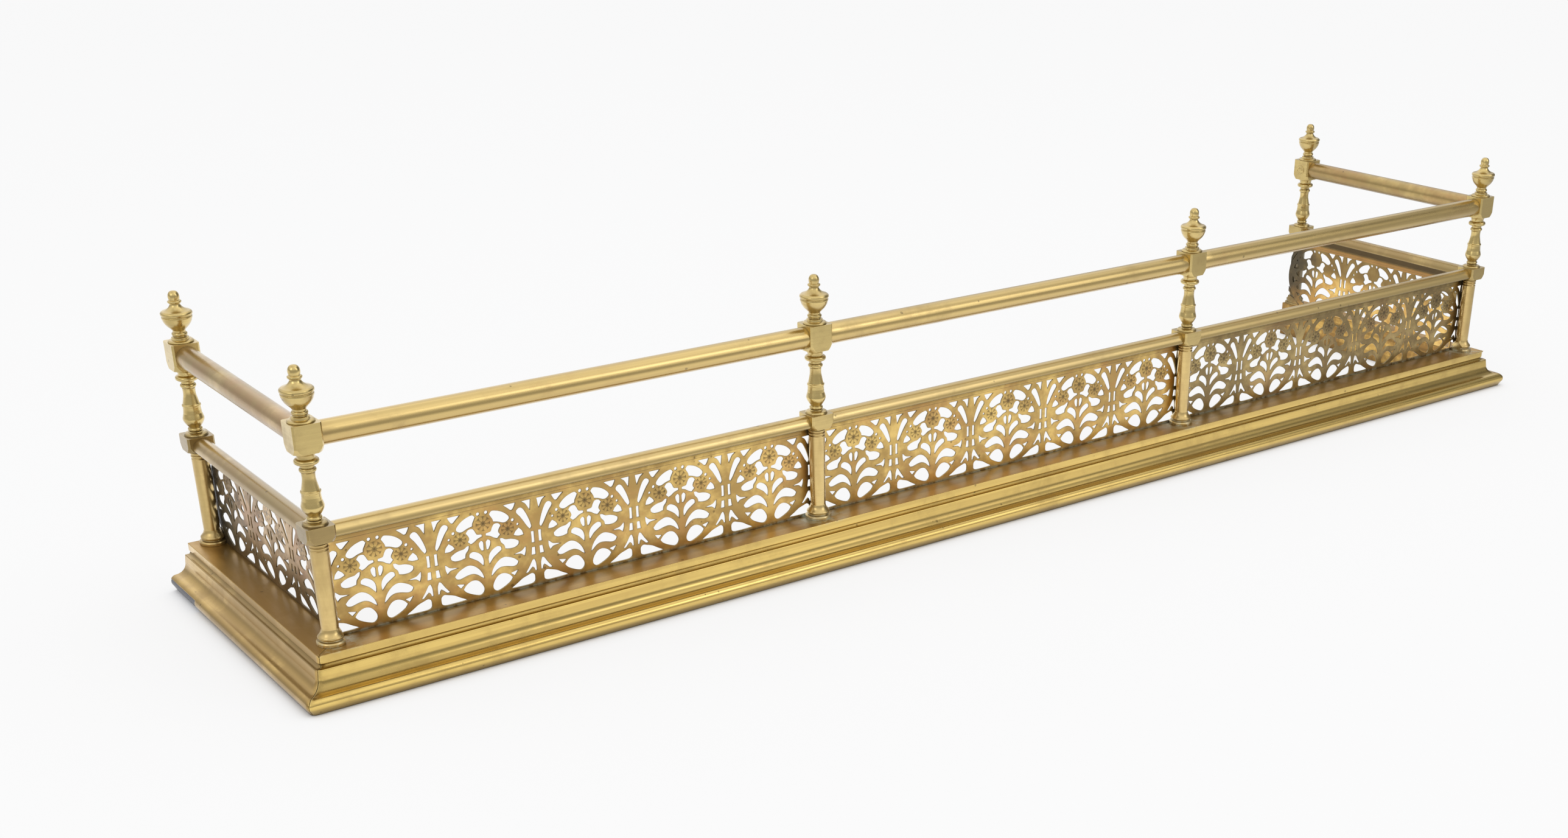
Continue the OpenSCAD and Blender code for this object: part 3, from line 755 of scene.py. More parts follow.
def makePosts():
    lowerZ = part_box("standard_front_left")[0].z / mm
    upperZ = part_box("standard_front_left")[1].z / mm - block["upperHeight"]

    def stand(kind, name, bm, finish, lift, **more):
        node = kind + "_" + name
        shift(bm, (0, 0, lift))
        reframe(bm, metres((postAt[name].x, postAt[name].y, 0)))
        finishPiece("turned_" + node, bm, finish, [node], "brass_turned", **more)

    for name in postNames:
        bm = turned(finial["profile"], finial["corner"], finial["steps"])
        stand("finial", name, bm, turnedBrass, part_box("finial_front_left")[0].z / mm)

        lower = squareBlock(block["lowerHeight"])
        shift(lower, (0, 0, lowerZ))
        upper = squareBlock(block["upperHeight"])
        shift(upper, (0, 0, upperZ))
        shaft = turned(baluster["profile"], baluster["corner"], baluster["steps"])
        shift(shaft, (0, 0, lowerZ + block["lowerHeight"]))
        finish = turnedBrassLeft if name in ("rear_left", "front_left") else turnedBrass
        stand("standard", name, joined([lower, upper, shaft]), finish, 0, worn=block["worn"])

        bm = turned(leg["profile"], leg["corner"], leg["steps"])
        for x, y in leg["flatSides"][name]:
            cutFlat(bm, (x * leg["flat"], y * leg["flat"], 0), (x, y, 0))
        stand("leg", name, bm, legBrass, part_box("leg_front_left")[0].z / mm, sharp=50)


makePosts()
print("posts made")


def railLook(along, kind):
    front = along == "x"
    look = dict(turnedLook, **{
        "cloud": 16.0, "tarnish": 0.45 if front else 0.8, "tarnishDepth": 0.4 if front else 0.75,
        "copper": 0.35 if front else 0.6, "copperDepth": 0.3 if front else 0.55,
        "grainWay": (0.02, 1.0, 1.0) if front else (1.0, 0.02, 1.0), "fineness": 1500.0,
        "grainDepth": 0.0000015, "dentDepth": 0.00001, "streak": 0.12, "dirtReach": 0.006,
        "residue": 0.0, "under": 0.5, "above": 0.0, "gloss": 0.23,
        "tones": {"bright": tint(203, 176, 112)},
    })
    if kind == "cap":
        look.update({"gloss": 0.28, "coat": 0.95, "copperDepth": 0.2})
        # Painted shade: a dark line along the cap rail's lowest edge, over the sheet
        look["bands"] = [(2, 0.1236, 0.1224, 0.7, "grime")]
    return look


railBrass = {
    "front_top": brass("brassTopRailFront", railLook("x", "top")),
    "front_cap": brass("brassCapRailFront", railLook("x", "cap")),
    "side_top": brass("brassTopRailSide", railLook("y", "top")),
    "side_cap": brass("brassCapRailSide", railLook("y", "cap")),
}

topRail = {
    "radius": 9.2, "wall": 1.2, "around": 40, "station": 11.0, "ripple": 0.02,
}

capRail = {
    "radius": 8.2, "rise": 9.1, "neckHalf": 7.0, "neckHeight": 0.6, "height": 9.5, "back": 0.6,
    "cuts": 20, "seat": 1.4, "station": 22.0, "ripple": 0.02, "worn": 0.35,
}


ripples = {"along": 38, "across": 12, "apart": 7.3}


# Slight unevenness of a drawn rail, different for each seed
def rippled(bm, depth, seed):
    across = ripples["across"]
    for vert in bm.verts:
        x = vert.co.x / ripples["along"] + seed * ripples["apart"]
        at = Vector((x, vert.co.y / across, vert.co.z / across))
        push = noise.noise(at) * depth
        away = Vector((0, vert.co.y, vert.co.z))
        if away.length > 0.01:
            vert.co += away.normalized() * push


# Draws a section out along X, with a station about every so many millimetres
def drawnOut(bm, length, station):
    stations = max(2, round(length / station))
    edges = bm.edges[:]
    for step in range(stations):
        grown = bmesh.ops.extrude_edge_only(bm, edges=edges)["geom"]
        edges = edgesOf(grown)
        bmesh.ops.translate(bm, verts=vertsOf(grown), vec=(length / stations, 0, 0))


def makeTopRail(side, name, start, length, seed):
    bm = bmesh.new()
    radius = topRail["radius"] - topRail["ripple"]
    bmesh.ops.create_circle(bm, segments=topRail["around"], radius=radius)
    bmesh.ops.rotate(bm, verts=bm.verts, matrix=spin(90, "Y"))
    drawnOut(bm, length - block["width"], topRail["station"])
    rippled(bm, topRail["ripple"], seed)
    closeUp(bm)
    bmesh.ops.solidify(bm, geom=bm.faces[:], thickness=topRail["wall"])
    closeUp(bm)
    low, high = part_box("top_rail_" + name)
    shift(bm, (block["width"] / 2, 0, (low.z + high.z) / 2 / mm))
    reframe(bm, runFrame(side, start))
    bmesh.ops.recalc_face_normals(bm, faces=bm.faces)
    finish = railBrass["front_top" if side == "front" else "side_top"]
    finishPiece("tube_top_rail_" + name, bm, finish, ["top_rail_" + name], "brass_rails")


def makeCapRail(side, name, start, length, seed):
    bm = bmesh.new()
    neck = capRail["neckHalf"]
    foot = capRail["neckHeight"]
    middleZ = capRail["height"] - capRail["rise"]
    first = math.asin((foot - middleZ) / capRail["rise"])
    cuts = capRail["cuts"]
    angles = [first + (math.pi - 2 * first) * step / cuts for step in range(cuts + 1)]
    top = onArc(-capRail["back"], middleZ, capRail["radius"], angles, capRail["rise"])
    section = [(neck, 0), (neck, foot)] + top + [(-neck, foot), (-neck, 0)]
    verts = chain(bm, [(0, y, z) for y, z in section])[0]
    bm.edges.new((verts[-1], verts[0]))
    roundOff(bm, [verts[2], verts[cuts + 2]], capRail["worn"])
    drawnOut(bm, length - block["width"] + 2 * capRail["seat"], capRail["station"])
    rippled(bm, capRail["ripple"], seed)
    closeUp(bm)
    bmesh.ops.holes_fill(bm, edges=[edge for edge in bm.edges if edge.is_boundary], sides=0)
    shift(bm, (block["width"] / 2 - capRail["seat"], 0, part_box("cap_rail_" + name)[0].z / mm))
    reframe(bm, runFrame(side, start))
    bmesh.ops.recalc_face_normals(bm, faces=bm.faces)
    finish = railBrass["front_cap" if side == "front" else "side_cap"]
    finishPiece("rounded_cap_rail_" + name, bm, finish, ["cap_rail_" + name], "brass_rails", sharp=50)


def makeRails():
    for i, bay in enumerate(bayNames):
        makeTopRail("front", "front_" + bay, i * bayLength, bayLength, i)
        makeCapRail("front", "front_" + bay, i * bayLength, bayLength, i + 10)
    for i, side in enumerate(sideNames):
        makeTopRail(side, "side_" + side, 0, sideLength, i + 20)
        makeCapRail(side, "side_" + side, 0, sideLength, i + 30)


makeRails()
print("rails made")


panelLook = dict(turnedLook, **{
    "cloud": 26.0, "tarnish": 0.7, "tarnishDepth": 0.85, "copper": 0.5, "copperDepth": 0.45,
    "grainWay": (1.0, 1.0, 1.0), "fineness": 420.0, "grainDepth": 0.00001, "dentDepth": 0.0001,
    "streak": 0.2, "dirtStart": 0.2, "dirt": 0.9, "specks": 0.04, "rise": 0.006, "residue": 0.8,
    "foot": 0.0081, "gloss": 0.28, "edge": 0.1, "coat": 0.4, "chased": 0.85, "sawn": 0.85,
    "rimWidth": 0.0012, "rim": 0.72,
    "tones": {"bright": tint(216, 184, 108), "deep": tint(170, 138, 78), "copper": tint(188, 136, 80)},
    # Painted shade: a dark band at the top of the sheet under the cap rail, and one at its foot on the
    # deck
    "bands": [(2, 0.1165, 0.1174, 0.8, "grime"), (2, 0.0412, 0.0386, 0.55, "grime")],
})
piercedBrass = {
    "front_left": brass("brassPiercedFront", panelLook),
    "front_right": brass("brassPiercedFrontRight", dict(panelLook, tones={
        "bright": tint(182, 158, 102), "deep": tint(126, 106, 66), "copper": tint(156, 118, 76),
    })),
    "left": brass("brassPiercedLeft", dict(panelLook, tones={
        "bright": tint(216, 184, 138), "deep": tint(136, 110, 76), "copper": tint(200, 148, 112),
        "sawn": tint(92, 78, 54),
    # The left return's sheet is painted darker below mid height; its top band under the cap rail is
    # painted shade as on the front
    }, bands=[
        (2, 0.1165, 0.1174, 0.8, "grime"), (2, 0.076, 0.046, 0.8, "grime"),
    ], smoke=[
        ((leftX, rearY + 0.01, 0.07), 0.08, 0.9), ((leftX, frontY, 0.04), 0.07, 0.6),
    ])),
    # The right return's inner face: a brighter tone stands in for the bright reflection seen through
    # the front bays, with painted shade over its upper part and a painted shadow under the cap rail
    "right": brass("brassPiercedRight", dict(panelLook, tones={
        "bright": tint(240, 204, 122), "deep": tint(198, 150, 76), "copper": tint(188, 138, 76),
    }, bands=[
        (2, 0.076, 0.092, 0.85, "under"),
    ], hollows=[
        (2, 0.111, 0.116, 0.001, 0.6, "copper"), (2, 0.117, 0.125, 0.0008, 0.9, "grime"),
    ], smoke=[
        ((rightX, rearY + 0.015, 0.08), 0.06, 0.9),
    ])),
}
piercedBrass["front_middle"] = piercedBrass["front_left"]

panel = {
    "pitch": 88.0, "drawnHeight": 85.6, "ringZ": 37.2, "ringR": 40.5, "topStripZ": 73.5,
    "footHeight": 2.5, "endRim": 1.8, "sideLead": 4.0, "sideTrail": 9.0, "sheetBack": 7.5,
    "sheet": 1.2, "frontCount": 5, "sideCount": 3, "edge": 0.2, "notchHalf": 11.3, "notchZ": 81.7,
    "bindingLow": 75.1, "bindingHigh": 78.5, "bindingProud": 0.85, "bindingSink": 0.1,
    "bindingRound": (0.3, 0.5, 0.4), "wallFrom": 0.4, "sharpTurn": 62, "smallest": 3.4,
    "narrowest": 0.4, "flowerRim": 8,
    "ring": [
        [(20.7, 11.5), (17.9, 14.7), (13.4, 16.8), (9, 16), (5.8, 12.7), (4, 8.7), (4.6, 5.7), (7, 4),
         (10, 4.5), (14.9, 6.6), (18.9, 9.1)],
        [(19.9, 15.5), (25.7, 16.7), (22.9, 13.2)],
        [(3.2, 17.2), (4.5, 21.2), (7, 25.2), (11, 28.7), (15.4, 30), (19.9, 28.7), (23.9, 26.5),
         (26.7, 23.7), (25.4, 21.5), (22.4, 20.9), (16.9, 22.3), (12, 22.7), (8, 21.1), (5, 18.5)],
        [(2.6, 27.7), (2.3, 31.7), (3.5, 35.7), (6.5, 38.7), (10.5, 40.3), (13.1, 39), (13.3, 36.7),
         (9.5, 34.3), (6.5, 32.2), (4.3, 29.7)],
        [(1.3, 46.2), (2.8, 47.7), (4.6, 46.2), (4.2, 42.7), (2.6, 39.9), (1.4, 40.1)],
        [(9.2, 59), (12.5, 58.9), (14.4, 56.7), (12.7, 54.2), (12, 51.7), (13.3, 49.5), (11, 47.3),
         (8.5, 48.3), (5.5, 50.3), (1.8, 51.5), (2, 52.9), (6, 53.7), (7.2, 56.2)],
        [(29.4, 51.2), (26.4, 48.7), (25.2, 46.5), (28.9, 45.1), (32.9, 45.2), (31.9, 48.5)],
        [(13.2, 46.1), (13.9, 43.2), (16.4, 40.2), (17.1, 37.1), (20.9, 36.3), (25.4, 36.5),
         (28.2, 38.2), (28.5, 40.5), (25.9, 42.3), (21.9, 43.7), (17.4, 44.3), (14.9, 45.9)],
        [(33.9, 34.7), (30.4, 31.7), (23.9, 30.4), (29.9, 29.7), (32.6, 27.5), (33.7, 30.7)],
        [(6.2, 67.9), (8, 70), (11.5, 69.5), (15.4, 68), (18.9, 65.7), (21.7, 62.7), (21.9, 60.7),
         (19.4, 58.9), (16.9, 58.9), (13, 60.5), (9, 61.5), (8.6, 63.5), (7.4, 65.7)],
        [(18.7, 72.4), (28.1, 72.4), (27.4, 70.7), (25.7, 67.9), (24.2, 67.6), (21.9, 69.7)],
    ],
    "holes": [(3.4, 70.2, 1.4), (24.9, 59.1, 1.3), (28.9, 54.7, 1)],
    "palmette": [
        [(12.8, 67.4), (15, 65.9), (15, 63.9), (12.5, 60.7), (9.6, 56), (7.3, 51.9), (5, 48.7),
         (3.8, 50.1), (4.8, 54.7), (6.7, 60), (9, 64.7), (10.8, 66.9)],
        [(3, 72.3), (10, 72.3), (7.5, 70.7), (6, 68.5), (4, 64.7)],
        [(2.2, 36.7), (2.2, 45.7), (4.2, 45.7), (4, 41), (4.2, 36.7)],
        [(2.2, 26.5), (2.2, 32.3), (4.4, 32.3), (5.2, 26.5)],
        [(2.2, 12.9), (2.4, 18.7), (3.6, 22.3), (5, 21.7), (8, 16.9), (11.3, 12.5), (9.6, 12.6),
         (7, 15.1), (5.2, 16.5), (3.8, 15.3), (3.1, 13)],
        [(4.2, 6.2), (4.4, 9.2), (6.5, 10.9), (10, 10), (15, 8.3), (19.5, 5.5), (24.6, 2.7),
         (13, 2.5), (7, 2.7), (4.6, 3.9)],
    ],
    "widen": 0.26, "flowers": [(0, 61.7, 7.3), (-20, 53, 6.4), (20, 53, 6.4)],
    "flower": {
        "petals": 8, "turn": 22.5, "jitter": 6, "ground": 0.84, "groundTone": 0.75,
        "groundRise": 0.05, "boss": 0.17, "bossRise": 0.2, "petal": (0.6, 0.38, 0.205),
        "petalTone": 0.12, "petalRise": 0.4, "rimRise": 0.02,
    },
}


# An opening's outline as the saw left it: smooth, but sharp where it turns hard
def sawn(points):
    loop = [Vector(point) for point in points]
    count = len(loop)
    sharp = []
    for i in range(count):
        into = loop[i] - loop[i - 1]
        away = loop[(i + 1) % count] - loop[i]
        sharp.append(math.degrees(into.angle(away)) > panel["sharpTurn"])
    out = []
    for i in range(count):
        here = loop[i]
        there = loop[(i + 1) % count]
        span = there - here
        start = span if sharp[i] else (there - loop[i - 1]) / 2
        end = span if sharp[(i + 1) % count] else (loop[(i + 2) % count] - here) / 2
        if start.length > span.length:
            start = start.normalized() * span.length
        if end.length > span.length:
            end = end.normalized() * span.length
        out.append(here)
        cuts = 3 if span.length > panel["smallest"] else 2
        for step in range(1, cuts):
            out.append(onCurve(here, start, there, end, step / cuts))
    return out


# An opening's outline moved outward, less at its sharp points
def widened(loop, by):
    count = len(loop)
    area = sum(loop[i - 1].x * loop[i].y - loop[i].x * loop[i - 1].y for i in range(count))
    way = 1 if area > 0 else -1
    out = []
    for i, here in enumerate(loop):
        into = (here - loop[i - 1]).normalized()
        away = (loop[(i + 1) % count] - here).normalized()
        bisector = (into + away).normalized()
        reach = by / max(0.7, bisector.dot(into))
        out.append(here + Vector((bisector.y, -bisector.x)) * way * reach)
    return out


# What is left of an outline on one side of an upright line
def clipped(loop, limit, keepRight):
    out = []
    for i, here in enumerate(loop):
        before = loop[i - 1]
        hereIn = here.x >= limit if keepRight else here.x <= limit
        beforeIn = before.x >= limit if keepRight else before.x <= limit
        if hereIn != beforeIn:
            share = (limit - before.x) / (here.x - before.x)
            out.append(before.lerp(here, share))
        if hereIn:
            out.append(here)
    return out


def ornamentOpenings(start, count, pitch, low, high, heightScale):
    wide = pitch / panel["pitch"]
    loops = []
    for i in range(count + 1):
        at = start + i * pitch
        loops += [(at, widened(sawn(points), panel["widen"])) for points in panel["palmette"]]
        if i == count:
            continue
        at = start + (i + 0.5) * pitch
        loops += [(at, widened(sawn(points), panel["widen"])) for points in panel["ring"]]
        for x, z, radius in panel["holes"]:
            hole = []
            for step in range(10):
                angle = math.tau * step / 10
                hole.append(Vector((x + radius * math.cos(angle) / wide, z + radius * math.sin(angle))))
            loops.append((at, hole))
    out = []
    for centre, loop in loops:
        for way in (1, -1):
            placed = [Vector((centre + way * point.x * wide, point.y * heightScale)) for point in loop]
            placed = clipped(placed, low + panel["endRim"], True)
            placed = clipped(placed, high - panel["endRim"], False)
            xs = [point.x for point in placed]
            if len(placed) > 2 and max(xs) - min(xs) > panel["narrowest"]:
                out.append(placed)
    return out


def sheetFromLoops(name, loops):
    curve = bpy.data.curves.new(name, "CURVE")
    curve.dimensions = "2D"
    curve.fill_mode = "BOTH"
    curve.extrude = panel["sheet"] / 2 - panel["edge"]
    curve.bevel_depth = panel["edge"]
    curve.bevel_resolution = 0
    curve.offset = -panel["edge"]
    for loop in loops:
        spline = curve.splines.new("POLY")
        spline.points.add(len(loop) - 1)
        for point, at in zip(spline.points, loop):
            point.co = (at.x, at.y, 0, 1)
        spline.use_cyclic_u = True
    flat = bpy.data.objects.new(name, curve)
    scene.collection.objects.link(flat)
    graph = bpy.context.evaluated_depsgraph_get()
    mesh = bpy.data.meshes.new_from_object(flat.evaluated_get(graph))
    bm = bmesh.new()
    bm.from_mesh(mesh)
    bpy.data.meshes.remove(mesh)
    bpy.data.objects.remove(flat)
    bpy.data.curves.remove(curve)
    closeUp(bm)
    return bm


# Low petals round a boss, on a chased ground that stays dark between them
def addFlower(bm, x, z, radius, seed):
    dark = bm.verts.layers.float["chased"]
    face = panel["sheet"] / 2
    flower = panel["flower"]
    jitter = flower["jitter"]
    turnBy = flower["turn"] + random.Random(seed).uniform(-jitter, jitter)
    ground = flower["ground"] * radius
    boss = flower["boss"] * radius
    rim = flower["rimRise"]
    flat = (flower["groundRise"], flower["groundTone"])
    # Each disc: how far out, its half length and width, its turn, segments, and the rise and tone
    # of its rim and of its middle
    discs = [
        (0.0, ground, ground, 0.0, 16, flat, flat),
        (0.0, boss, boss, 0.0, 8, (rim, 1.0), (flower["bossRise"], 1.0)),
    ]
    out, longHalf, wideHalf = flower["petal"]
    for i in range(flower["petals"]):
        discs.append((
            out * radius, longHalf * radius, wideHalf * radius, turnBy + 360 * i / flower["petals"], 8,
            (rim, flower["petalTone"]), (flower["petalRise"], 0.0),
        ))
    for out, longHalf, wideHalf, angle, segments, edge, top in discs:
        made = bmesh.ops.create_circle(
            bm, cap_ends=True, cap_tris=True, segments=segments, radius=1,
        )["verts"]
        for vert in made:
            rise, vert[dark] = top if vert.co.length < 0.01 else edge
            vert.co = (vert.co.x * longHalf + out, vert.co.y * wideHalf, face + rise)
        bmesh.ops.rotate(bm, verts=made, matrix=spin(angle, "Z"))
        bmesh.ops.translate(bm, verts=made, vec=(x, z, 0))


# The folded strip that stiffens the sheet under the cap rail, on both faces
def addBinding(bm, start, end, heightScale):
    low = panel["bindingLow"] * heightScale
    high = panel["bindingHigh"] * heightScale
    face = panel["sheet"] / 2 - panel["bindingSink"]
    proud = panel["sheet"] / 2 + panel["bindingProud"]
    lowRound, highRound, highDrop = panel["bindingRound"]
    section = [
        (low, face), (low, proud - lowRound), (low + lowRound, proud), (high - highRound, proud),
        (high, proud - highDrop), (high, face),
    ]
    for way in (1, -1):
        edges = chain(bm, [(start, y, z * way) for y, z in section])[1]
        drawn = bmesh.ops.extrude_edge_only(bm, edges=edges)["geom"]
        bmesh.ops.translate(bm, verts=vertsOf(drawn), vec=(end - start, 0, 0))
        ends = [edge for edge in edges + edgesOf(drawn) if edge.is_boundary]
        bmesh.ops.holes_fill(bm, edges=ends, sides=0)


def makePanel(side, name, start, low, high, count, pitch, first, outline):
    node = "panel_" + name
    lowCorner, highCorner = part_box(node)
    tall = (highCorner.z - lowCorner.z) / mm
    heightScale = tall / panel["drawnHeight"]
    loops = [outline] + ornamentOpenings(first, count, pitch, low, high, heightScale)
    bm = sheetFromLoops(name, loops)
    bm.verts.layers.float.new("chased")
    for i in range(count):
        centre = first + (i + 0.5) * pitch
        for k, (x, z, radius) in enumerate(panel["flowers"]):
            x = centre + x * pitch / panel["pitch"]
            if low + panel["flowerRim"] < x < high - panel["flowerRim"]:
                addFlower(bm, x, z * heightScale, radius, i * 3 + k)
    notch = panel["notchHalf"]
    addBinding(bm, notch, (bayLength if side == "front" else sideLength) - notch, heightScale)
    stand = Matrix(((1, 0, 0, 0), (0, 0, 1, 0), (0, 1, 0, 0), (0, 0, 0, 1)))
    back = panel["sheetBack"] + panel["sheet"] / 2
    reframe(bm, stand)
    shift(bm, (0, -back, deckZ / mm))
    reframe(bm, runFrame(side, start))
    bmesh.ops.recalc_face_normals(bm, faces=bm.faces)
    cut = bm.faces.layers.float.new("sawnEdge")
    through = Vector((0, 1, 0)) if side == "front" else Vector((1, 0, 0))
    for face in bm.faces:
        face[cut] = 1.0 if abs(face.normal.dot(through)) < panel["wallFrom"] else 0.0
    finish = piercedBrass[name if side == "front" else side]
    finishPiece("pierced_" + node, bm, finish, [node], "brass_pierced", sharp=40)


def frontOutline(low, high, tall):
    notch = panel["notchHalf"]
    notchZ = panel["notchZ"]
    far = bayLength - notch
    return [Vector(point) for point in (
        (low, 0), (high, 0), (high, notchZ), (far, notchZ), (far, tall), (notch, tall), (notch, notchZ),
        (low, notchZ),
    )]


# The rear end follows the last ring, between the foot strip and the top strip
def sideOutline(low, ringX, ringR, tall):
    ringZ = panel["ringZ"]
    stripZ = panel["topStripZ"]
    high = ringX + ringR
    notch = panel["notchHalf"]
    notchZ = panel["notchZ"]
    lowCut = -math.degrees(math.asin((ringZ - panel["footHeight"]) / ringR))
    highCut = math.degrees(math.asin((stripZ - ringZ) / ringR))
    angles = [math.radians(lowCut + (highCut - lowCut) * step / 24) for step in range(25)]
    points = [(low, 0), (high, 0), (high, panel["footHeight"])] + onArc(ringX, ringZ, ringR, angles)
    points.append((high, stripZ))
    behind = sideLength + notch
    if behind < high - 0.5:
        points += [(high, tall), (behind, tall), (behind, notchZ)]
    else:
        points.append((high, notchZ))
    points += [(sideLength - notch, notchZ), (sideLength - notch, tall), (notch, tall)]
    points += [(notch, notchZ), (low, notchZ)]
    return [Vector(point) for point in points]


def makePanels():
    tall = (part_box("panel_front_left")[1].z - deckZ) / mm
    count = panel["frontCount"]
    outline = frontOutline(0.0, bayLength, tall)
    for i, bay in enumerate(bayNames):
        start = i * bayLength
        pitch = bayLength / count
        makePanel("front", "front_" + bay, start, 0.0, bayLength, count, pitch, 0.0, outline)
    count = panel["sideCount"]
    pitch = (panel["sideLead"] + sideLength + panel["sideTrail"]) / count
    low = panel["sheetBack"] + panel["sheet"]
    ringX = sideLength + panel["sideTrail"] - pitch / 2
    ringR = panel["ringR"] * pitch / panel["pitch"]
    outline = sideOutline(low, ringX, ringR, tall)
    for side in sideNames:
        start = -panel["sideLead"]
        makePanel(side, "side_" + side, 0.0, low, ringX + ringR, count, pitch, start, outline)


makePanels()
print("panels made")


def baseLook(side):
    inner, outer, axis = {
        "front": (frontY - 0.002, frontY - 0.013, 1), "left": (leftX - 0.002, leftX - 0.013, 0),
        "right": (rightX + 0.002, rightX + 0.013, 0),
    }[side]
    look = dict(turnedLook, **{
        "cloud": 13.0, "tarnishDepth": 0.5,
        "grainWay": (0.02, 1.0, 1.0) if side == "front" else (1.0, 0.02, 1.0), "fineness": 1200.0,
        "streak": 0.3, "dirtStart": 0.5, "dirt": 0.4, "edgeWidth": 0.0009, "edge": 0.6,
        "specks": 0.03, "dentDepth": 0.00004, "rise": 0.002, "residue": 0.85, "foot": 0.0070,
        "under": 0.5, "above": 0.75, "gloss": 0.2, "coat": 0.25,
        "tones": {"bright": tint(208, 179, 104), "deep": tint(164, 136, 76)},
        # Painted shade: the deck is darker next to the sheet's foot, and the cove is darker
        "bands": [(axis, outer, inner, 0.4 if side == "front" else 0.12, "grime")],
        "hollows": [(2, 0.0142, 0.0205, 0.0014, 0.36, "grime")],
    })
    if side != "front":
        # The side runs take deeper tarnish, which also stands in for painted shade, as they are darker
        # than the front; the hollows paint shade low on the nose and in the groove
        look.update({"tarnish": 0.75, "tarnishDepth": 0.7, "residue": 0.0, "torn": side == "left"})
        look["tones"] = {"bright": tint(206, 172, 100), "deep": tint(164, 134, 78)}
        look["hollows"] = [
            (2, -0.002, 0.0105, 0.001, 0.3, "grime"), (2, 0.0280, 0.0312, 0.0006, 0.35, "grime"),
        ]
    if side == "right":
        # The right run's inner wall, seen through the sheet, has a brighter tone as a painted
        # reflection
        look.update({"cloud": 30.0, "tarnishDepth": 0.9, "copperDepth": 0.6})
        look["tones"] = {
            "bright": tint(236, 194, 106), "deep": tint(150, 112, 60), "copper": tint(196, 134, 66),
        }
    return look


baseBrass = {
    side: brass("brassBase" + side.title(), baseLook(side)) for side in ("front", "left", "right")
}

base = {
    "height": 38.0, "skin": 1.2, "back": 9.0, "front": 18.5, "lip": 7.0, "groove": 2.5,
    "grooveIn": 1.5, "grooveFall": 1.6, "stepOut": 4.5, "stepHeight": 6.5, "stepLean": 0.8,
    "cove": 9.0, "nose": 5.5, "tuck": 3.5, "trail": 11.0, "worn": 0.7, "beyond": 2, "station": 20.0,
    "dent": 0.26, "dentAlong": 70, "dentAcross": 9, "dentApart": 5.1,
    "cornerCuts": (0.7, 1.7, 3.2, 5.0), "cornerWorn": 1.1, "tearLength": 58.0, "tearHeight": 10.4,
    "tearDepth": 0.5, "tearJitter": (-0.1, 0.4), "tearSeed": 7, "seam": 0.28,
}


# The moulding's outline: outward and up from the floor, from the hearth side's foot to the front's
def baseProfile():
    step = base["lip"] + base["groove"]
    stepOut = base["front"] + base["stepOut"]
    middleOut = stepOut + base["cove"]
    coveZ = -step - base["stepHeight"]
    noseZ = coveZ - base["cove"] - base["nose"]
    inner = base["front"] - base["grooveIn"]
    points = [
        (-base["back"], -base["height"]), (-base["back"], 0), (base["front"], 0),
        (base["front"], -base["lip"]), (inner, -base["lip"]), (inner + base["grooveFall"], -step),
        (stepOut - base["stepLean"], -step), (stepOut, coveZ),
    ]
    cove = [math.radians(180 + 90 * i / 9) for i in range(1, 10)]
    nose = [math.radians(90 - 130 * i / 12) for i in range(1, 13)]
    points += onArc(middleOut, coveZ, base["cove"], cove)
    points += onArc(middleOut, noseZ, base["nose"], nose)
    points.append((middleOut + base["nose"] - base["tuck"], -base["height"]))
    return [(out, z + base["height"]) for out, z in points], [1, 2, 3, 6, 7]


def makeBase(side, length, ends, seed):
    node = "base_moulding_" + side
    bm = bmesh.new()
    points, corners = baseProfile()
    reach = max(out for out, z in points) + base["beyond"]
    verts = chain(bm, [(-reach, out, z) for out, z in points])[0]
    roundOff(bm, [verts[i] for i in corners], base["worn"], 3)
    far = length + (reach if ends == 2 else base["trail"])
    drawnOut(bm, far + reach, base["station"])
    across = base["dentAcross"]
    for vert in bm.verts:
        x = vert.co.x / base["dentAlong"] + seed * base["dentApart"]
        push = (noise.noise((x, vert.co.y / across, vert.co.z / across)) - 1) / 2 * base["dent"]
        if base["height"] - 0.5 > vert.co.z > 0.5 and 0 < vert.co.y:
            vert.co.y += push
    mitres = [(base["seam"], -1), (length - base["seam"], 1)]
    for x, way in mitres[:ends]:
        sliced(bm, (x, 0, 0), (way, -1, 0))
        wearCorner(bm, x, way)
    if side == "left":
        tearSkin(bm, far)
    closeUp(bm)
    reframe(bm, runFrame(side))
    bm.normal_update()
    if sum(face.normal.z * face.calc_area() for face in bm.faces) < 0:
        bmesh.ops.reverse_faces(bm, faces=bm.faces)
    piece = finishPiece("moulded_" + node, bm, baseBrass[side], [node], "brass_base", sharp=60)
    skin = piece.modifiers.new("skin", "SOLIDIFY")
    skin.thickness = base["skin"] * mm
    skin.offset = -1
    skin.use_even_offset = True
    piece.modifiers.move(1, 0)


# A mitred corner is worn round: its points draw back along the mitre, most at the mitre itself
def wearCorner(bm, x, way):
    reach = base["cornerCuts"][-1]
    for cut in base["cornerCuts"]:
        sliced(bm, (x - way * cut, 0, 0), (way, -1, 0), False)
    for vert in bm.verts:
        away = (x - vert.co.x) * way + vert.co.y
        if vert.co.y > 0 and vert.co.z < base["height"] - 0.3 and away < reach:
            pull = base["cornerWorn"] * (1 - max(away, 0) / reach) ** 2
            vert.co.x -= way * pull
            vert.co.y -= pull


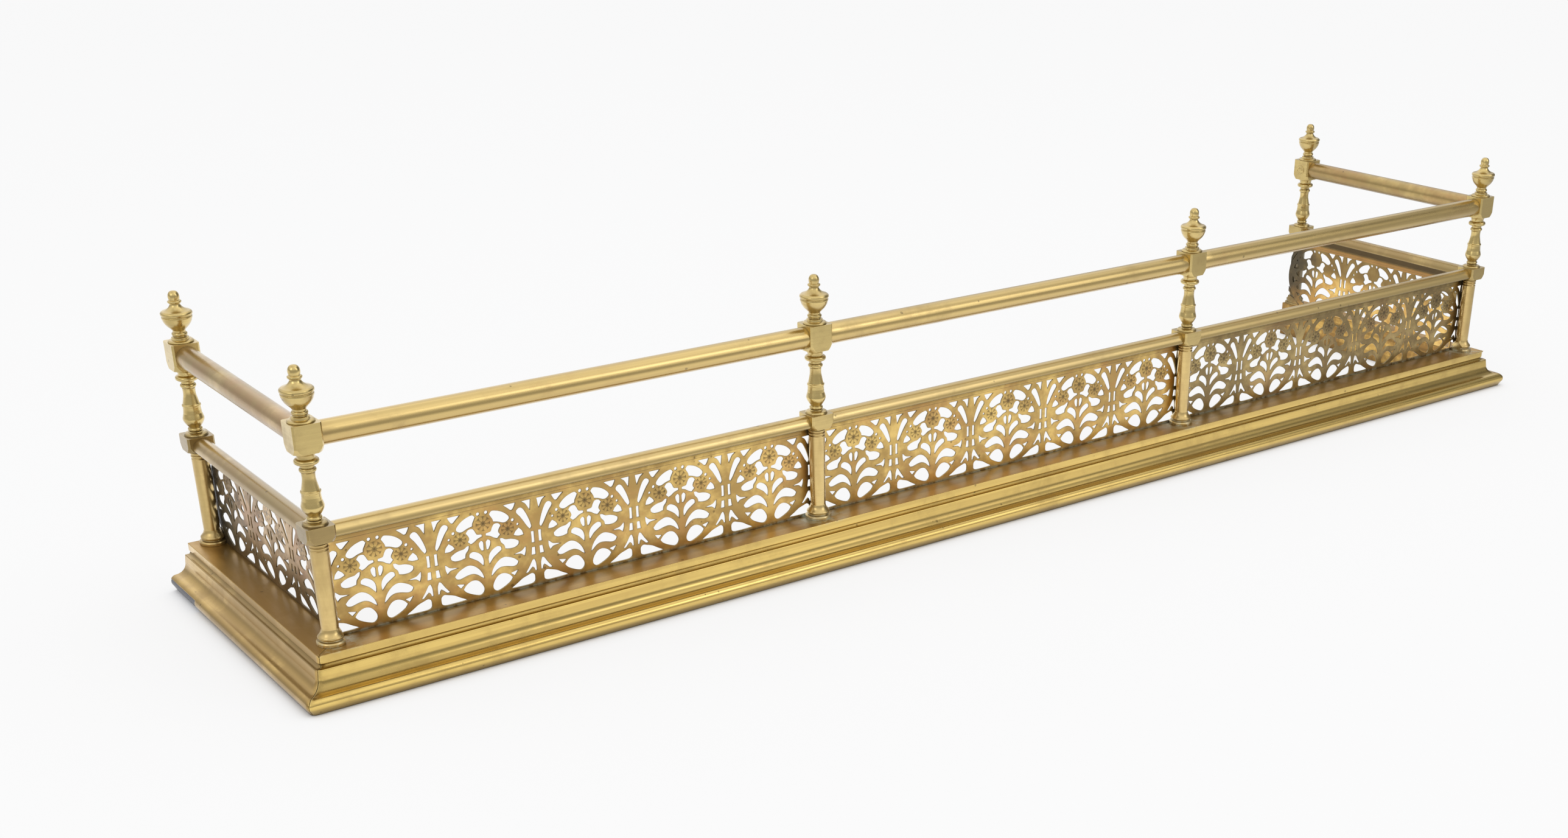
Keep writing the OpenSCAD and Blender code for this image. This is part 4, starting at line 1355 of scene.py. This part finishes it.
# The thin skin is torn away low at the rear end, where the iron under it shows
def tearSkin(bm, far):
    torn = bm.faces.layers.float.new("torn")
    edgeX = far - base["tearLength"]
    tearZ = base["tearHeight"]
    for inward in (0.0, 0.5):
        sliced(bm, (edgeX + inward, 0, 0), (1, 0, 0), False)
        sliced(bm, (0, 0, tearZ - inward), (0, 0, 1), False)
    for face in bm.faces:
        at = face.calc_center_median()
        if at.x > edgeX and at.z < tearZ and at.y > 0:
            face[torn] = 1.0
    rough = random.Random(base["tearSeed"])
    for vert in bm.verts:
        if vert.co.y > 0 and vert.co.x > edgeX + 0.4 and vert.co.z < tearZ - 0.4:
            vert.co.y -= base["tearDepth"]
        elif vert.co.y > 0 and vert.co.x > edgeX + 1 and abs(vert.co.z - tearZ) < 0.1:
            vert.co.z += rough.uniform(*base["tearJitter"])


def makeBases():
    makeBase("front", bayLength * 3, 2, 1)
    makeBase("left", sideLength, 1, 2)
    makeBase("right", sideLength, 1, 3)


makeBases()
print("base made")


plug = {
    "steps": 40, "corner": 0.15,
    "profile": [
        [(0, -4)], [(4, -4)], [(4, -0.2)], [(5.5, -0.2)], [(5.5, 0.3)],
        [(4.9, 0.62), (4.3, 0.5), (3.9, 0.2)], [(3.2, 0.2)], [(2.6, 0.62), (1.6, 0.78), (0, 0.8)],
    ],
}


def makePlugs():
    parts = []
    for name, way in (("rear_left", 1), ("rear_right", -1)):
        bm = turned(plug["profile"], plug["corner"], plug["steps"])
        bmesh.ops.rotate(bm, verts=bm.verts, matrix=spin(90 * way, "Y"))
        x = postAt[name].x + way * block["width"] / 2 * mm
        reframe(bm, metres((x, postAt[name].y, middle("block_plugs").z)))
        parts.append(bm)
    bm = joined(parts)
    finishPiece("domed_block_plugs", bm, turnedBrass, ["block_plugs"], "brass_turned", sharp=50)


makePlugs()


ironLook = {
    "dark": tint(46, 44, 42), "rust": tint(98, 62, 40), "pale": tint(112, 108, 102), "cloud": 60.0,
    "rustCover": 0.42, "rough": 0.62, "metal": 0.7, "grain": 0.00006,
}

steelLook = {
    "dark": tint(104, 104, 104), "rust": tint(122, 92, 66), "pale": tint(168, 168, 166),
    "cloud": 140.0, "rustCover": 0.3, "rough": 0.42, "metal": 0.9, "grain": 0.00002,
}


# What both have in common: the grime is the brass's own
ironCommon = {
    "rustEdge": 0.18, "fineness": 700.0, "dirtReach": 0.004, "dirtStart": 0.3, "edgeWidth": 0.0006,
    "darkened": 0.55, "edge": 0.5, "dirt": 0.7, "rustRough": 0.88, "rustMetal": 0.1,
}


def ironFinish(name, look):
    material, tree = withNodes(bpy.data.materials.new(name))
    look = dict(ironCommon, **look)
    place = put(tree, "TexCoord")["Object"]
    rust = use(
        tree, tarnishClouds, Place=place, Scale=look["cloud"], Cover=look["rustCover"],
        Edge=look["rustEdge"],
    )["Mask"]
    grain = use(tree, handGrain, Place=place, Fineness=look["fineness"])
    dirt = use(tree, grooveDirt, Reach=look["dirtReach"], Start=look["dirtStart"])["Dirt"]
    worn = use(tree, wornEdge, Width=look["edgeWidth"])["Wear"]
    colour = blend(grain["Streak"], look["dark"], look["pale"])
    colour = blend(look["darkened"], colour, look["dark"])
    colour = blend(rust, colour, look["rust"])
    colour = blend(worn * look["edge"], colour, look["pale"])
    colour = blend(dirt * look["dirt"], colour, brassTones["grime"])
    rough = between(rust, look["rough"], look["rustRough"])
    metal = between(rust, look["metal"], look["rustMetal"])
    height = grain["Height"] * look["grain"] + rust * look["grain"]
    return dressed(material, colour, metal, rough, height)


def dressNodes():
    iron = ["deck_bar_front", "deck_bar_left", "deck_bar_right"]
    iron += ["sole_front", "sole_left", "sole_right", "sole_pillars"]
    steel = ["tie_rods", "tie_nuts", "tie_washers", "rail_pins", "sole_screws"]
    finishes = [
        (ironFinish("ironBlack", ironLook), iron), (ironFinish("steelGrey", steelLook), steel),
        (turnedBrass, ["rail_dowels"]),
    ]
    for finish, names in finishes:
        for name in names:
            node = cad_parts[name]
            for slot in node.material_slots:
                slot.material = finish
            if not node.material_slots:
                node.data.materials.append(finish)


dressNodes()
print("iron and steel dressed")
